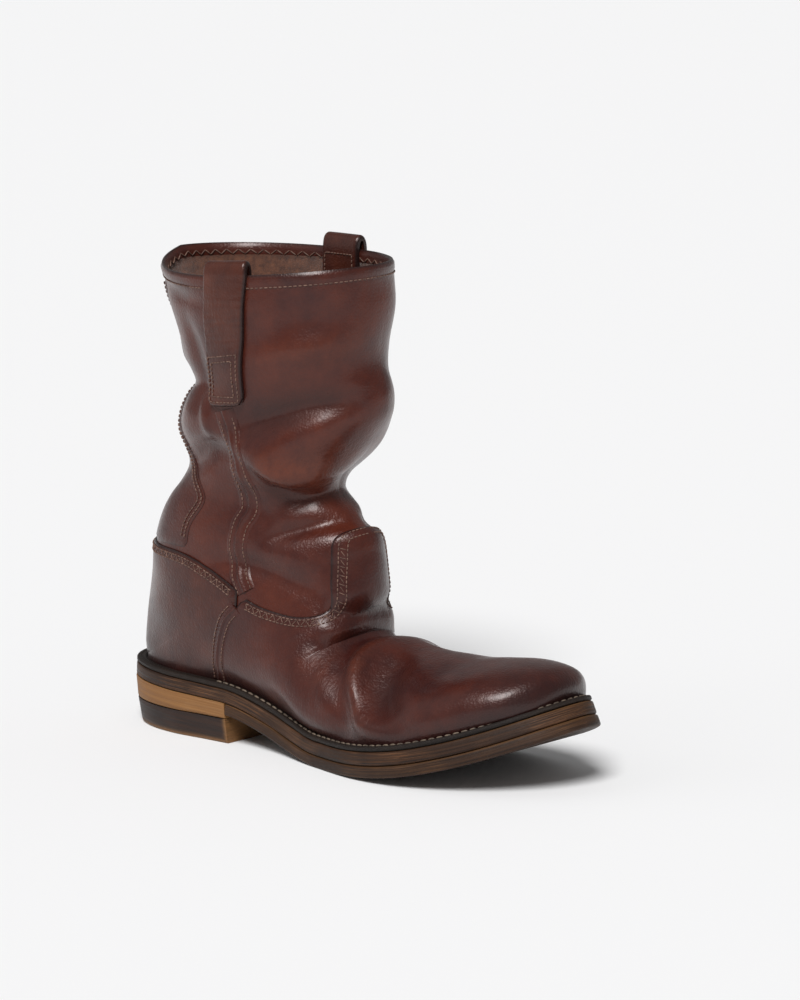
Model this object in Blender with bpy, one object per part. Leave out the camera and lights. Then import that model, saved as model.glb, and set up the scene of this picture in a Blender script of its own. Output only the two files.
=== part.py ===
"""Slouched mid-calf pull-on boot, right foot: hollow leather upper on a stacked sole.

Frame: metres, +X from heel to toe, +Y to the inner (medial) side, +Z up. The origin is on the
floor, under the middle of the heel. The upper is a fan of cross-sections: each lies in a plane
that holds the Y direction, from a base point (along the sole, then up the back of the shaft)
to a ridge point (over the toe, the vamp, and up the front of the shaft).
"""

import bmesh
import bpy
import numpy as np

# Sole: driving sizes.
SOLE_LENGTH = 0.302
BALL_WIDTH = 0.110
HEEL_LENGTH = 0.087
HEEL_HEIGHT = 0.0228
HEEL_SEAT_RISE = 0.0034
OUTSOLE_THICKNESS = 0.0062
MIDSOLE_THICKNESS = 0.0072
WELT_THICKNESS = 0.0028
WELT_LEDGE = 0.0055
TOE_SPRING = 0.0335
HEEL_BLOCK_HEIGHT = 0.0135
HEEL_TAPER = 0.0030
INSOLE_THICKNESS = 0.0030

# Upper: driving sizes.
UPPER_HEIGHT = 0.228
COLLAR_DIP = 0.008
WALL = 0.0020
OVERLAY = 0.0014
SEAM_RIDGE = 0.0012
SEAM_WIDTH = 0.009
TOE_SWELL = 0.0010

# Pull straps: driving sizes.
STRAP_WIDTH = 0.027
STRAP_WIDTH_LOW = 0.023
STRAP_THICKNESS = 0.0030
STRAP_DROP_OUTSIDE = 0.068
STRAP_DROP_INSIDE = 0.018
STRAP_LOOP = 0.0085
STRAP_PLACE = 0.338
STRAP_PLACE_LOW = 0.326

# Clearance between neighbouring pieces, and from the strap to the wall it hangs on.
GAP = 0.0003
STRAP_GAP = 0.0007

# Where the heel's middle lies, as a share of the length from the heel's back.
HEEL_MIDDLE = 0.145

# Outline of the sole, seen from above, round the outer side to the toe and back.
# Columns: share of SOLE_LENGTH from the heel's back, share of BALL_WIDTH to the inner side.
OUTLINE = (
    (0.000, 0.000), (0.022, -0.170), (0.075, -0.275), (0.150, -0.325),
    (0.240, -0.325), (0.400, -0.335), (0.520, -0.405), (0.640, -0.485),
    (0.740, -0.490), (0.840, -0.420), (0.920, -0.300), (0.975, -0.150),
    (1.000, 0.040), (0.985, 0.210), (0.930, 0.345), (0.850, 0.445),
    (0.740, 0.505), (0.640, 0.470), (0.520, 0.375), (0.400, 0.300),
    (0.240, 0.315), (0.150, 0.325), (0.075, 0.275), (0.022, 0.170),
)

# Where the sole line leaves the heel, meets the floor and rises to the toe (shares of length).
SHANK_BACK = 0.258
SHANK_FRONT = 0.530
SPRING_START = 0.556

# Sections of the upper along the foot, toe first. Base points lie on the sole.
# Columns: base and ridge, shares of SOLE_LENGTH; ridge height over the base, share of
# UPPER_HEIGHT; greatest half-widths outside and inside, shares of BALL_WIDTH; height of the
# greatest width, share of the section; fullness of the top; middle line, share of BALL_WIDTH.
FOOT_SECTIONS = (
    (0.953, 0.9500, 0.012, 0.00, 0.00, 0.00, 2.0, 0.040),
    (0.940, 0.9530, 0.053, 0.00, 0.00, 0.14, 2.1, 0.040),
    (0.920, 0.9500, 0.083, 0.00, 0.00, 0.20, 2.1, 0.038),
    (0.896, 0.9410, 0.110, 0.00, 0.00, 0.22, 2.2, 0.035),
    (0.870, 0.9260, 0.133, 0.00, 0.00, 0.22, 2.2, 0.030),
    (0.835, 0.8960, 0.153, 0.00, 0.00, 0.22, 2.2, 0.025),
    (0.795, 0.8570, 0.168, 0.00, 0.00, 0.22, 2.2, 0.020),
    (0.750, 0.8100, 0.176, 0.00, 0.00, 0.22, 2.1, 0.015),
    (0.700, 0.7600, 0.181, 0.00, 0.00, 0.22, 2.0, 0.010),
    (0.645, 0.7050, 0.196, 0.00, 0.00, 0.23, 2.0, 0.005),
    (0.590, 0.6500, 0.211, 0.00, 0.00, 0.25, 2.0, 0.000),
    (0.530, 0.5920, 0.213, 0.41, 0.39, 0.28, 1.9, 0.000),
    (0.460, 0.5430, 0.195, 0.40, 0.38, 0.34, 1.9, 0.000),
    (0.388, 0.5230, 0.188, 0.38, 0.365, 0.40, 2.0, 0.000),
    (0.350, 0.5260, 0.188, 0.372, 0.360, 0.43, 2.0, 0.000),
    (0.311, 0.5320, 0.191, 0.365, 0.355, 0.45, 2.0, 0.000),
    (0.271, 0.5380, 0.202, 0.360, 0.352, 0.47, 2.0, 0.000),
    (0.232, 0.5430, 0.215, 0.355, 0.350, 0.48, 2.0, 0.000),
    (0.156, 0.5450, 0.247, 0.350, 0.345, 0.50, 2.0, 0.000),
    (0.097, 0.5430, 0.277, 0.345, 0.342, 0.51, 2.0, 0.000),
    (0.057, 0.5400, 0.304, 0.344, 0.342, 0.51, 2.0, 0.000),
    (0.034, 0.5370, 0.329, 0.345, 0.344, 0.51, 2.0, 0.000),
    (0.0243, 0.5340, 0.355, 0.346, 0.346, 0.51, 2.0, 0.000),
)

# Sections of the shaft, from the heel's back up to the collar.
# Columns: as above, with the base's own height first after its place, share of UPPER_HEIGHT.
SHAFT_SECTIONS = (
    (0.0270, 0.044, 0.5260, 0.379, 0.350, 0.350, 0.50, 2.0),
    (0.0370, 0.149, 0.4920, 0.419, 0.365, 0.365, 0.48, 2.0),
    (0.0535, 0.263, 0.4570, 0.456, 0.368, 0.368, 0.46, 2.0),
    (0.0620, 0.316, 0.4520, 0.480, 0.362, 0.362, 0.45, 2.0),
    (0.0740, 0.364, 0.4590, 0.507, 0.357, 0.357, 0.46, 2.0),
    (0.0930, 0.408, 0.4770, 0.533, 0.360, 0.360, 0.48, 2.0),
    (0.1190, 0.452, 0.4970, 0.561, 0.368, 0.368, 0.49, 2.0),
    (0.1350, 0.493, 0.5170, 0.590, 0.380, 0.380, 0.50, 2.0),
    (0.1280, 0.533, 0.5360, 0.621, 0.395, 0.395, 0.50, 2.0),
    (0.1180, 0.577, 0.5510, 0.654, 0.410, 0.410, 0.50, 2.0),
    (0.1240, 0.623, 0.5560, 0.689, 0.415, 0.415, 0.50, 2.0),
    (0.1410, 0.662, 0.5530, 0.724, 0.415, 0.415, 0.50, 2.0),
    (0.1620, 0.697, 0.5450, 0.759, 0.412, 0.412, 0.50, 2.0),
    (0.1540, 0.730, 0.5400, 0.796, 0.412, 0.412, 0.50, 2.0),
    (0.1360, 0.775, 0.5410, 0.836, 0.420, 0.420, 0.50, 2.0),
    (0.1080, 0.870, 0.5500, 0.912, 0.435, 0.435, 0.50, 2.0),
    (0.0860, 0.960, 0.5460, 0.975, 0.443, 0.443, 0.50, 2.0),
    (0.0800, 0.998, 0.5430, 1.000, 0.445, 0.445, 0.50, 2.0),
)

# Folds pressed into the leather, each along a curve through three places seen from the side.
# Columns: three places, each as shares of SOLE_LENGTH and UPPER_HEIGHT over the heel seat;
# side (-1 outer, 1 inner); depth, share of BALL_WIDTH (negative is a ridge); width, same.
FOLDS = (
    ((0.30, 0.60), (0.40, 0.68), (0.52, 0.74), -1, 0.036, 0.130),
    ((0.33, 0.56), (0.42, 0.57), (0.50, 0.60), -1, -0.032, 0.140),
    ((0.16, 0.52), (0.26, 0.49), (0.36, 0.45), -1, 0.026, 0.150),
    ((0.30, 0.60), (0.40, 0.68), (0.52, 0.74), 1, 0.032, 0.130),
    ((0.33, 0.56), (0.42, 0.57), (0.50, 0.60), 1, -0.028, 0.140),
    ((0.16, 0.52), (0.26, 0.49), (0.36, 0.45), 1, 0.026, 0.150),
)

# Top line of the vamp and the counter, seen from the side, from the front of the shaft back
# to the heel's back seam. Columns: share of SOLE_LENGTH, share of UPPER_HEIGHT over the seat.
TONGUE_TOP = 0.400
TONGUE_LINE = (
    (0.541, 0.400), (0.521, 0.390), (0.506, 0.378), (0.500, 0.361), (0.501, 0.326),
    (0.504, 0.268), (0.507, 0.218), (0.495, 0.194),
)
SADDLE_LINE = ((0.455, 0.184), (0.391, 0.194), (0.353, 0.209))
COUNTER_LINE = ((0.330, 0.228), (0.297, 0.253), (0.256, 0.277), (0.193, 0.301), (0.050, 0.308))

# Side seam between vamp and counter, and its raised part up the shaft. Same columns.
SIDE_SEAM_LOW = ((0.329, 0.188), (0.306, 0.157), (0.292, 0.117), (0.279, 0.062), (0.265, 0.000))
SIDE_SEAM_HIGH = (
    (0.345, 0.228), (0.331, 0.265), (0.326, 0.324), (0.333, 0.384), (0.347, 0.421),
    (0.344, 0.472), (0.339, 0.519), (0.328, 0.600),
)

# Front edge of the stay that wraps the back of the shaft. Same columns.
BACK_STAY = (
    (0.214, 0.314), (0.224, 0.370), (0.252, 0.425), (0.242, 0.465), (0.190, 0.530),
    (0.165, 0.600), (0.175, 0.690), (0.160, 0.760), (0.135, 0.860), (0.125, 0.930),
)

# The collar hangs lower on the outer side, over this many sections, most behind the strap.
DIP_ROWS = 8
DIP_SKEW = 1.6

# Up to this height over the sole, the skins stand square to it, so that their hems lie level.
HEM_HEIGHT = 0.006

# Stations of the sole beyond those of the upper's sections, as shares of SOLE_LENGTH.
MORE_STATIONS = (0.0015, 0.0045, 0.011, 0.018, SPRING_START, 0.966, 0.977, 0.986, 0.993, 0.9985)
INSOLE_CLEARANCE = 0.0018

# Divisions of the upper on each side, from its ridge to its base.
COLUMNS = 13

# Helper outlines that cut the overlays reach this far past the boot.
FAR = 0.1

# Places in metres from the heel's back, before the origin moves under the heel's middle.
HEEL_CENTRE = HEEL_MIDDLE * SOLE_LENGTH
SEAT = OUTSOLE_THICKNESS + MIDSOLE_THICKNESS + 2 * GAP
FEATHER_INSET = WELT_LEDGE + OVERLAY + GAP


def through(rows, at):
    """Catmull-Rom curve through the rows of a table, read at the row positions `at`."""
    rows = np.asarray(rows, float)
    first = 2 * rows[0] - rows[1]
    final = 2 * rows[-1] - rows[-2]
    ends = np.vstack([first, rows, final])
    whole = np.clip(np.floor(at).astype(int), 0, len(rows) - 2)
    part = (at - whole)[..., None]
    a, b, c, d = (ends[whole + step] for step in range(4))
    bend = (2 * a - 5 * b + 4 * c - d) * part**2 + (3 * b - a - 3 * c + d) * part**3
    return 0.5 * (2 * b + (c - a) * part + bend)


def sole_outline(inset, count):
    """Closed outline of the sole seen from above, moved inwards by `inset`."""
    rows = np.array(OUTLINE + OUTLINE[:3])
    around = 1 + np.arange(count) * len(OUTLINE) / count
    loop = through(np.vstack([rows[-4:-3], rows]), around) * (SOLE_LENGTH, BALL_WIDTH)
    along = np.roll(loop, -1, 0) - np.roll(loop, 1, 0)
    along /= np.linalg.norm(along, axis=1)[:, None]
    return loop + inset * np.column_stack([-along[:, 1], along[:, 0]])


def sole_edges(x, inset):
    """Outer and inner Y of the outline at the places x, for an outline moved in by `inset`."""
    loop = sole_outline(inset, 720)
    loop = np.roll(loop, -int(loop[:, 0].argmin()), 0)
    toe = int(loop[:, 0].argmax())
    outer = loop[: toe + 1]
    inner = np.vstack([loop[toe:], loop[:1]])[::-1]
    return np.interp(x, outer[:, 0], outer[:, 1]), np.interp(x, inner[:, 0], inner[:, 1])


def tread(x):
    """Height of the sole line over the floor: heel seat, arched shank, flat spot, toe spring."""
    share = x / SOLE_LENGTH
    ramp = np.clip((SHANK_FRONT - share) / (SHANK_FRONT - SHANK_BACK), 0, 1)
    arch = (HEEL_HEIGHT - OUTSOLE_THICKNESS) * ramp**2 * (3 - 2 * ramp)
    seat = HEEL_SEAT_RISE * np.clip((SHANK_BACK - share) / SHANK_BACK, 0, 1)
    spring = TOE_SPRING * np.clip((share - SPRING_START) / (1 - SPRING_START), 0, 1) ** 2
    return arch + seat + spring


def sole_point(x, y, lift):
    """Point over the sole line at x, `lift` away from it, square to it."""
    step = 0.001
    slope = (tread(x + step) - tread(x - step)) / (2 * step)
    length = np.sqrt(1 + slope**2)
    return np.stack([x - lift * slope / length, y + 0 * x, tread(x) + lift / length], -1)


def sections():
    """All the upper's sections as one table in metres, toe first, and the heel's row number."""
    foot = np.array(FOOT_SECTIONS)
    base_x = foot[:, 0] * SOLE_LENGTH
    base = sole_point(base_x, 0, SEAT)
    outer, inner = sole_edges(base_x, FEATHER_INSET)
    middle = foot[:, 7] * BALL_WIDTH
    closing = foot[:, 0] <= FOOT_SECTIONS[-1][0]
    feather_outer = np.where(closing, 0, middle - outer)
    feather_inner = np.where(closing, 0, inner - middle)
    ridge_z = base[:, 2] + foot[:, 2] * UPPER_HEIGHT
    swell = TOE_SWELL * np.minimum(foot[:, 5] / foot[:, 5].max() * 2, 1)
    wide_outer = np.maximum(feather_outer + swell, foot[:, 3] * BALL_WIDTH)
    wide_inner = np.maximum(feather_inner + swell, foot[:, 4] * BALL_WIDTH)
    level = foot[:, 5] * (foot[:, 1] * SOLE_LENGTH - base[:, 0])
    step = 0.001
    outer_next, inner_next = sole_edges(base_x + step, FEATHER_INSET)
    leans = []
    for edge, following, feather, wide in (
        (-outer, -outer_next, feather_outer, wide_outer),
        (inner, inner_next, feather_inner, wide_inner),
    ):
        growth = level * (following**2 - edge**2) / step
        leans.append(np.clip(growth / (wide**2 - feather**2 + 1e-9), 0, 2))
    low = np.column_stack([base[:, 0], base[:, 2], foot[:, 1] * SOLE_LENGTH, ridge_z, wide_outer,
                           wide_inner, foot[:, 5], foot[:, 6], middle, feather_outer,
                           feather_inner, *leans])
    shaft = np.array(SHAFT_SECTIONS)
    floor = base[-1, 2]
    none = 0 * shaft[:, 0]
    high = np.column_stack([shaft[:, 0] * SOLE_LENGTH, floor + shaft[:, 1] * UPPER_HEIGHT,
                            shaft[:, 2] * SOLE_LENGTH, floor + shaft[:, 3] * UPPER_HEIGHT,
                            shaft[:, 4] * BALL_WIDTH, shaft[:, 5] * BALL_WIDTH, shaft[:, 6],
                            shaft[:, 7], none, none, none, none + 2, none + 2])
    return np.vstack([low, high]), len(foot) - 1


def smooth_form(row, around):
    """Points of the last's form: `row` counts sections from the toe, `around` runs from the
    ridge (0) to the base, -1 on the outer side and 1 on the inner side."""
    table, _ = sections()
    values = through(table, row)
    base = values[..., 0:2]
    ridge = values[..., 2:4]
    outer_side = around < 0
    wide = np.where(outer_side, values[..., 4], values[..., 5])
    waist = np.clip(values[..., 6], 0, 1)
    crown = values[..., 7]
    feather = np.maximum(np.where(outer_side, values[..., 9], values[..., 10]), 0)
    reach = np.linalg.norm(ridge - base, axis=-1)
    upper_arc = np.hypot(wide, (1 - waist) * reach)
    lower_arc = np.hypot(wide - feather, waist * reach) * (waist > 0.001)
    turn = upper_arc / (upper_arc + lower_arc + 1e-9)
    share = np.abs(around)
    above = share <= turn
    swing = np.where(above, share / turn, (share - turn) / np.maximum(1 - turn, 1e-6)) * np.pi / 2
    top_height = waist + (1 - waist) * np.abs(np.cos(swing)) ** (2 / crown)
    top_width = wide * np.abs(np.sin(swing)) ** (2 / crown)
    climb = 1 - np.sin(swing)
    low_height = waist * climb
    lean = np.clip(np.where(outer_side, values[..., 11], values[..., 12]), 0, 2)
    opened = lean * climb * (1 - climb) ** 2 + climb**2 * (3 - 2 * climb)
    low_width = np.sqrt(np.maximum(feather**2 + (wide**2 - feather**2) * opened, 0))
    height = np.where(above, top_height, low_height)
    width = np.where(above, top_width, low_width)
    flat = base + (ridge - base) * height[..., None]
    near_collar = np.clip(1 - (len(table) - 1 - row) / DIP_ROWS, 0, 1)
    dip = COLLAR_DIP * near_collar**2 * np.sin(np.pi * share**DIP_SKEW) * outer_side
    y = values[..., 8] + np.sign(around) * width
    return np.stack([flat[..., 0], y, flat[..., 1] - dip], -1)


def form_normals(row, around):
    """Outward unit normals of the smooth form, from small steps along and around it."""
    step = 0.02
    along = smooth_form(row + step, around) - smooth_form(row - step, around)
    side = np.where(around < 0, -1.0, 1.0)
    inside = np.clip(np.abs(around), 0.004, 0.992)
    nearer = smooth_form(row, side * (inside + 0.004))
    further = smooth_form(row, side * (inside - 0.004))
    across = (nearer - further) * side[..., None]
    normal = np.cross(along, across)
    normal[..., 1] = np.where(np.abs(around) < 0.001, 0, normal[..., 1])
    return -normal / np.maximum(np.linalg.norm(normal, axis=-1), 1e-12)[..., None]


def fold_depth(points, normals):
    """How far each point is pressed in: a soft trough along each fold's curve."""
    seat = sole_point(np.array([0.0]), 0, SEAT)[0, 2]
    steps = np.linspace(0, 1, 24)
    ease = np.sin(np.pi * np.clip(steps, 0.04, 0.96)) ** 0.5
    depth = np.zeros(points.shape[:-1])
    for start, middle, end, side, deep, width in FOLDS:
        places = np.array([start, middle, end]) * (SOLE_LENGTH, UPPER_HEIGHT) + (0, seat)
        bend = 2 * places[1] - (places[0] + places[2]) / 2
        curve = np.outer((1 - steps) ** 2, places[0]) + np.outer(steps**2, places[2])
        curve += np.outer(2 * steps * (1 - steps), bend)
        away = points[..., None, :][..., [0, 2]] - curve
        near = np.exp(-(away**2).sum(-1) / (width * BALL_WIDTH) ** 2) * ease
        facing = np.clip(normals[..., 1] * side * 1.6 + 0.3, 0, 1)
        depth += deep * BALL_WIDTH * near.max(-1) * facing
    return depth


def upper_surface(row, around, lift=0.0):
    """Points of the upper's outer face, or `lift` outside it."""
    points = smooth_form(row, around)
    normals = form_normals(row, around)
    depth = fold_depth(points, normals)
    rise = points[..., 2] - seat_height(points[..., 0])
    hem = np.clip(1 - rise / HEM_HEIGHT, 0, 1)
    slope = seat_slope(points[..., 0])
    up = np.stack([-slope, 0 * slope, 1 + 0 * slope], -1) / np.sqrt(1 + slope**2)[..., None]
    normals = normals - up * ((normals * up).sum(-1) * hem)[..., None]
    normals = normals / np.linalg.norm(normals, axis=-1)[..., None]
    fading = np.clip(rise / (2 * HEM_HEIGHT), 0, 1)
    return points + normals * (lift - depth * fading)[..., None]


def seat_height(x):
    """Height over the floor, at x, of the face that the upper stands on."""
    line = sole_point(np.linspace(0, SOLE_LENGTH, 303), 0, SEAT)
    return np.interp(x, line[:, 0], line[:, 2])


def seat_slope(x):
    """Slope at x of the face that the upper stands on."""
    step = 0.001
    return (seat_height(x + step) - seat_height(x - step)) / (2 * step)


def grid_faces(rows, columns, wrap=False, joined_from=None):
    """Triangles of a grid of rows x columns points. `wrap` adds those from the last column to
    the first; from the row `joined_from` on, the last column is the first one."""
    index = np.arange(rows * columns).reshape(rows, columns)
    if joined_from is not None:
        index[joined_from:, -1] = index[joined_from:, 0]
    right = np.roll(index, -1, 1)
    if not wrap:
        index = index[:, :-1]
        right = right[:, :-1]
    halves = ([index[:-1], right[:-1], right[1:]], [index[:-1], right[1:], index[1:]])
    return np.concatenate([np.stack(corners, -1).reshape(-1, 3) for corners in halves])


def centred(points):
    """Moves points so that the origin lies under the heel's middle."""
    return points - np.array([HEEL_CENTRE, 0, 0])


def solid_from_faces(name, outside, inside, faces):
    """Closed solid between two matching skins, with a rim along every open edge."""
    outside = outside.reshape(-1, 3)
    inside = inside.reshape(-1, 3)
    edges = np.concatenate([faces[:, [k, (k + 1) % 3]] for k in range(3)])
    edges = edges[edges[:, 0] != edges[:, 1]]
    keys = np.sort(edges, axis=1)
    _, first, count = np.unique(keys, axis=0, return_index=True, return_counts=True)
    rim = edges[first[count == 1]]
    shift = len(outside)
    rims = np.column_stack([rim[:, 1], rim[:, 0], rim[:, 0] + shift, rim[:, 1] + shift])
    all_faces = faces.tolist() + (faces[:, ::-1] + shift).tolist() + rims.tolist()
    mesh = bpy.data.meshes.new(name)
    mesh.from_pydata(centred(np.vstack([outside, inside])).tolist(), [], all_faces)
    mesh.validate()
    work = bmesh.new()
    work.from_mesh(mesh)
    bmesh.ops.remove_doubles(work, verts=work.verts, dist=1e-6)
    bmesh.ops.dissolve_degenerate(work, edges=work.edges, dist=1e-6)
    bmesh.ops.delete(work, geom=[v for v in work.verts if not v.link_faces], context="VERTS")
    bmesh.ops.recalc_face_normals(work, faces=work.faces)
    work.to_mesh(mesh)
    work.free()
    mesh.shade_smooth()
    mesh.set_sharp_from_angle(angle=np.radians(40))
    made = bpy.data.objects.new(name, mesh)
    bpy.context.scene.collection.objects.link(made)
    return made


def material(name, colour, roughness):
    """Principled material with the piece's plain colour."""
    made = bpy.data.materials.new(name)
    made.use_nodes = True
    shader = made.node_tree.nodes["Principled BSDF"]
    shader.inputs["Base Color"].default_value = (*colour, 1)
    shader.inputs["Roughness"].default_value = roughness
    shader.inputs["Metallic"].default_value = 0
    return made


def upper_grid(lift):
    """Grid of points of the whole upper: a row for each section, columns from side to side."""
    table, _ = sections()
    rows = np.arange(len(table), dtype=float)
    around = np.linspace(-1, 1, 2 * COLUMNS + 1)
    row, turn = np.meshgrid(rows, around, indexing="ij")
    return upper_surface(row, turn, lift)


def upper_skin(name, outer_lift, inner_lift):
    """Hollow solid of the whole upper between two distances from its outer face."""
    outside = upper_grid(outer_lift)
    _, heel_row = sections()
    faces = grid_faces(*outside.shape[:2], joined_from=heel_row)
    return solid_from_faces(name, outside, upper_grid(inner_lift), faces)


def prism(name, outline, start, end):
    """Helper solid: a side-view outline in metres, carried across from Y = start to Y = end."""
    mesh = bpy.data.meshes.new(name)
    work = bmesh.new()
    ring = [work.verts.new((x - HEEL_CENTRE, start, z)) for x, z in outline]
    face = work.faces.new(ring)
    moved = bmesh.ops.extrude_face_region(work, geom=[face])
    tops = [item for item in moved["geom"] if isinstance(item, bmesh.types.BMVert)]
    bmesh.ops.translate(work, verts=tops, vec=(0, end - start, 0))
    bmesh.ops.recalc_face_normals(work, faces=work.faces)
    work.to_mesh(mesh)
    work.free()
    made = bpy.data.objects.new(name, mesh)
    bpy.context.scene.collection.objects.link(made)
    made.hide_render = True
    made.display_type = "WIRE"
    return made


def keep_inside(piece, helper):
    """Keeps only what of the piece lies inside the helper solid."""
    cut = piece.modifiers.new("cut", "BOOLEAN")
    cut.operation = "INTERSECT"
    cut.object = helper
    helper.hide_set(True)


def side_places(rows):
    """Side-view places of a table, in metres from the heel's back and the floor."""
    seat = sole_point(np.array([0.0]), 0, SEAT)[0, 2]
    return [(x * SOLE_LENGTH, seat + z * UPPER_HEIGHT) for x, z in rows]


def stations(x_from, x_to):
    """Places along the sole between two ends: those of the upper's sections, and a few more."""
    shares = np.unique([row[0] for row in FOOT_SECTIONS] + list(MORE_STATIONS))
    x = shares * SOLE_LENGTH
    return np.concatenate([[x_from], x[(x > x_from + GAP) & (x < x_to - GAP)], [x_to]])


def slab(name, x_from, x_to, low, high, inset=0.0):
    """Layer of the sole between two lifts over the sole line, inside the outline."""
    x = stations(x_from, x_to)
    outer, inner = sole_edges(x, inset)
    top = np.stack([sole_point(x, outer, high), sole_point(x, inner, high)], 1)
    bottom = np.stack([sole_point(x, outer, low), sole_point(x, inner, low)], 1)
    return solid_from_faces(name, top, bottom, grid_faces(len(x), 2))


def build_upper():
    upper = upper_skin("upper", 0.0, -WALL)
    upper.data.materials.append(material("burgundy_leather", (0.10, 0.022, 0.016), 0.38))


def build_overlays():
    """Vamp with its tongue, and counter: the upper's own form again, cut between two outlines."""
    finish = material("burgundy_leather_burnished", (0.08, 0.018, 0.015), 0.34)
    shell_low = GAP
    shell_high = GAP + OVERLAY
    half = GAP / 2
    beyond = SOLE_LENGTH + FAR
    below = -FAR
    seam = side_places(SIDE_SEAM_LOW)
    saddle = side_places(SADDLE_LINE)
    tongue_top = side_places(((0.6, TONGUE_TOP),))[0][1]
    front = [(beyond, below), (beyond, tongue_top)]
    front += side_places(TONGUE_LINE) + saddle
    front += [(x + half, z) for x, z in seam] + [(seam[-1][0] + half, below)]
    vamp = upper_skin("vamp", shell_high, shell_low)
    keep_inside(vamp, prism("vamp_outline", front, -FAR, FAR))
    vamp.data.materials.append(finish)
    back = [(saddle[-1][0] - 2 * half, saddle[-1][1])] + side_places(COUNTER_LINE)
    back += [(-FAR, side_places(COUNTER_LINE)[-1][1]), (-FAR, below)]
    back += [(seam[-1][0] - half, below)] + [(x - half, z) for x, z in reversed(seam)]
    counter = upper_skin("counter", shell_high, shell_low)
    keep_inside(counter, prism("counter_outline", back, -FAR, FAR))
    counter.data.materials.append(finish)


def build_side_seams():
    """Raised seam up each side of the shaft, from the top line to under the pull strap."""
    finish = material("seam_leather", (0.07, 0.016, 0.014), 0.40)
    line = np.array(side_places(SIDE_SEAM_HIGH))
    line = through(line, np.linspace(0, len(line) - 1, 2 * len(line) - 1))
    half = np.array([SEAM_WIDTH / 2, 0])
    outline = np.vstack([line - half, (line + half)[::-1]])
    for name, side in (("side_seam_outer", -1), ("side_seam_inner", 1)):
        strip = upper_skin(name, GAP + SEAM_RIDGE, GAP)
        keep_inside(strip, prism(name + "_outline", outline, side * SEAM_WIDTH, side * FAR))
        strip.data.materials.append(finish)


def build_back_stay():
    """Strip up the back of the shaft, from the counter to the collar."""
    stay = upper_skin("back_stay", GAP + SEAM_RIDGE, GAP)
    edge = side_places(BACK_STAY)
    outline = edge + [(-FAR, edge[-1][1]), (-FAR, edge[0][1])]
    keep_inside(stay, prism("back_stay_outline", outline, -FAR, FAR))
    stay.data.materials.append(material("back_stay_leather", (0.08, 0.018, 0.014), 0.38))


def strap_columns(row, side, high):
    """The `around` values across the strap at each row; `high` runs from 0 at its low end to 1
    at the rim."""
    fine = np.linspace(0.05, 0.95, 181)
    grid_row, grid_around = np.meshgrid(row, side * fine, indexing="ij")
    x = smooth_form(grid_row, grid_around)[..., 0]
    centre = SOLE_LENGTH * (STRAP_PLACE_LOW + (STRAP_PLACE - STRAP_PLACE_LOW) * high)
    width = STRAP_WIDTH_LOW + (STRAP_WIDTH - STRAP_WIDTH_LOW) * high
    wanted = centre[:, None] + width[:, None] * np.linspace(0.5, -0.5, 5)
    return np.stack([np.interp(-want, -line, fine) for want, line in zip(wanted, x)]) * side


def build_strap(name, side, finish):
    """Pull strap: sewn outside, up over the rim as a low loop, and sewn inside."""
    table, _ = sections()
    top = len(table) - 1.0
    rows = np.linspace(top - len(SHAFT_SECTIONS) / 2, top, 80)
    heights = smooth_form(rows, 0 * rows + side * 0.5)[:, 2]
    lowest = np.interp(heights[-1] - STRAP_DROP_OUTSIDE, heights, rows)
    row = np.linspace(lowest, top, 10)
    lowest_inside = np.interp(heights[-1] - STRAP_DROP_INSIDE, heights, rows)
    inner_row = np.linspace(top, lowest_inside, 4)
    high = np.linspace(0, 1, len(row))
    columns = strap_columns(row, side, high)
    outside = upper_surface(row[:, None] + 0 * columns, columns, STRAP_GAP)
    columns = strap_columns(inner_row, side, 1 + 0 * inner_row)
    inside = upper_surface(inner_row[:, None] + 0 * columns, columns, -WALL - STRAP_GAP)
    rim_out = outside[-1]
    rim_in = inside[0]
    swing = np.linspace(0, np.pi, 9)[1:-1]
    centre = (rim_out + rim_in) / 2
    arm = (rim_out - rim_in) / 2
    loop_height = STRAP_LOOP - STRAP_THICKNESS
    loop = centre + np.cos(swing)[:, None, None] * arm
    loop[..., 2] += np.sin(swing)[:, None] * loop_height
    under = np.concatenate([outside, loop, inside[1:]])
    along = np.gradient(under, axis=0)
    across = np.gradient(under, axis=1)
    outward = np.cross(along, across)
    outward /= np.linalg.norm(outward, axis=-1)[..., None]
    if outward[0, 2, 1] * side < 0:
        outward = -outward
    faces = grid_faces(*under.shape[:2])
    strap = solid_from_faces(name, under + outward * STRAP_THICKNESS, under, faces)
    strap.data.materials.append(finish)


def build_straps():
    finish = material("strap_leather", (0.11, 0.028, 0.020), 0.42)
    build_strap("strap_outer", -1, finish)
    build_strap("strap_inner", 1, finish)


def build_sole():
    """Outsole in front of the heel, midsole over its whole length, and insole."""
    tip = SOLE_LENGTH * MORE_STATIONS[-1]
    back = SOLE_LENGTH * MORE_STATIONS[0]
    outsole = slab("outsole", HEEL_LENGTH + GAP, tip, 0.0, OUTSOLE_THICKNESS)
    outsole.data.materials.append(material("outsole_leather", (0.09, 0.05, 0.03), 0.55))
    low = OUTSOLE_THICKNESS + GAP
    midsole = slab("midsole", back, tip, low, low + MIDSOLE_THICKNESS)
    midsole.data.materials.append(material("midsole_leather", (0.13, 0.07, 0.04), 0.50))
    inset = FEATHER_INSET + WALL + INSOLE_CLEARANCE
    ends = (inset + GAP, SOLE_LENGTH - inset - GAP)
    insole = slab("insole", *ends, SEAT, SEAT + INSOLE_THICKNESS, inset)
    insole.data.materials.append(material("insole_leather", (0.30, 0.19, 0.11), 0.70))


def over_midsole(x, y, lift):
    """Points `lift` over the sole line at the stations x, in line with the midsole's facets."""
    shared = stations(0.0, SOLE_LENGTH)
    line = sole_point(shared, 0, lift)
    return np.stack([np.interp(x, shared, line[:, 0]), y, np.interp(x, shared, line[:, 2])], -1)


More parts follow.
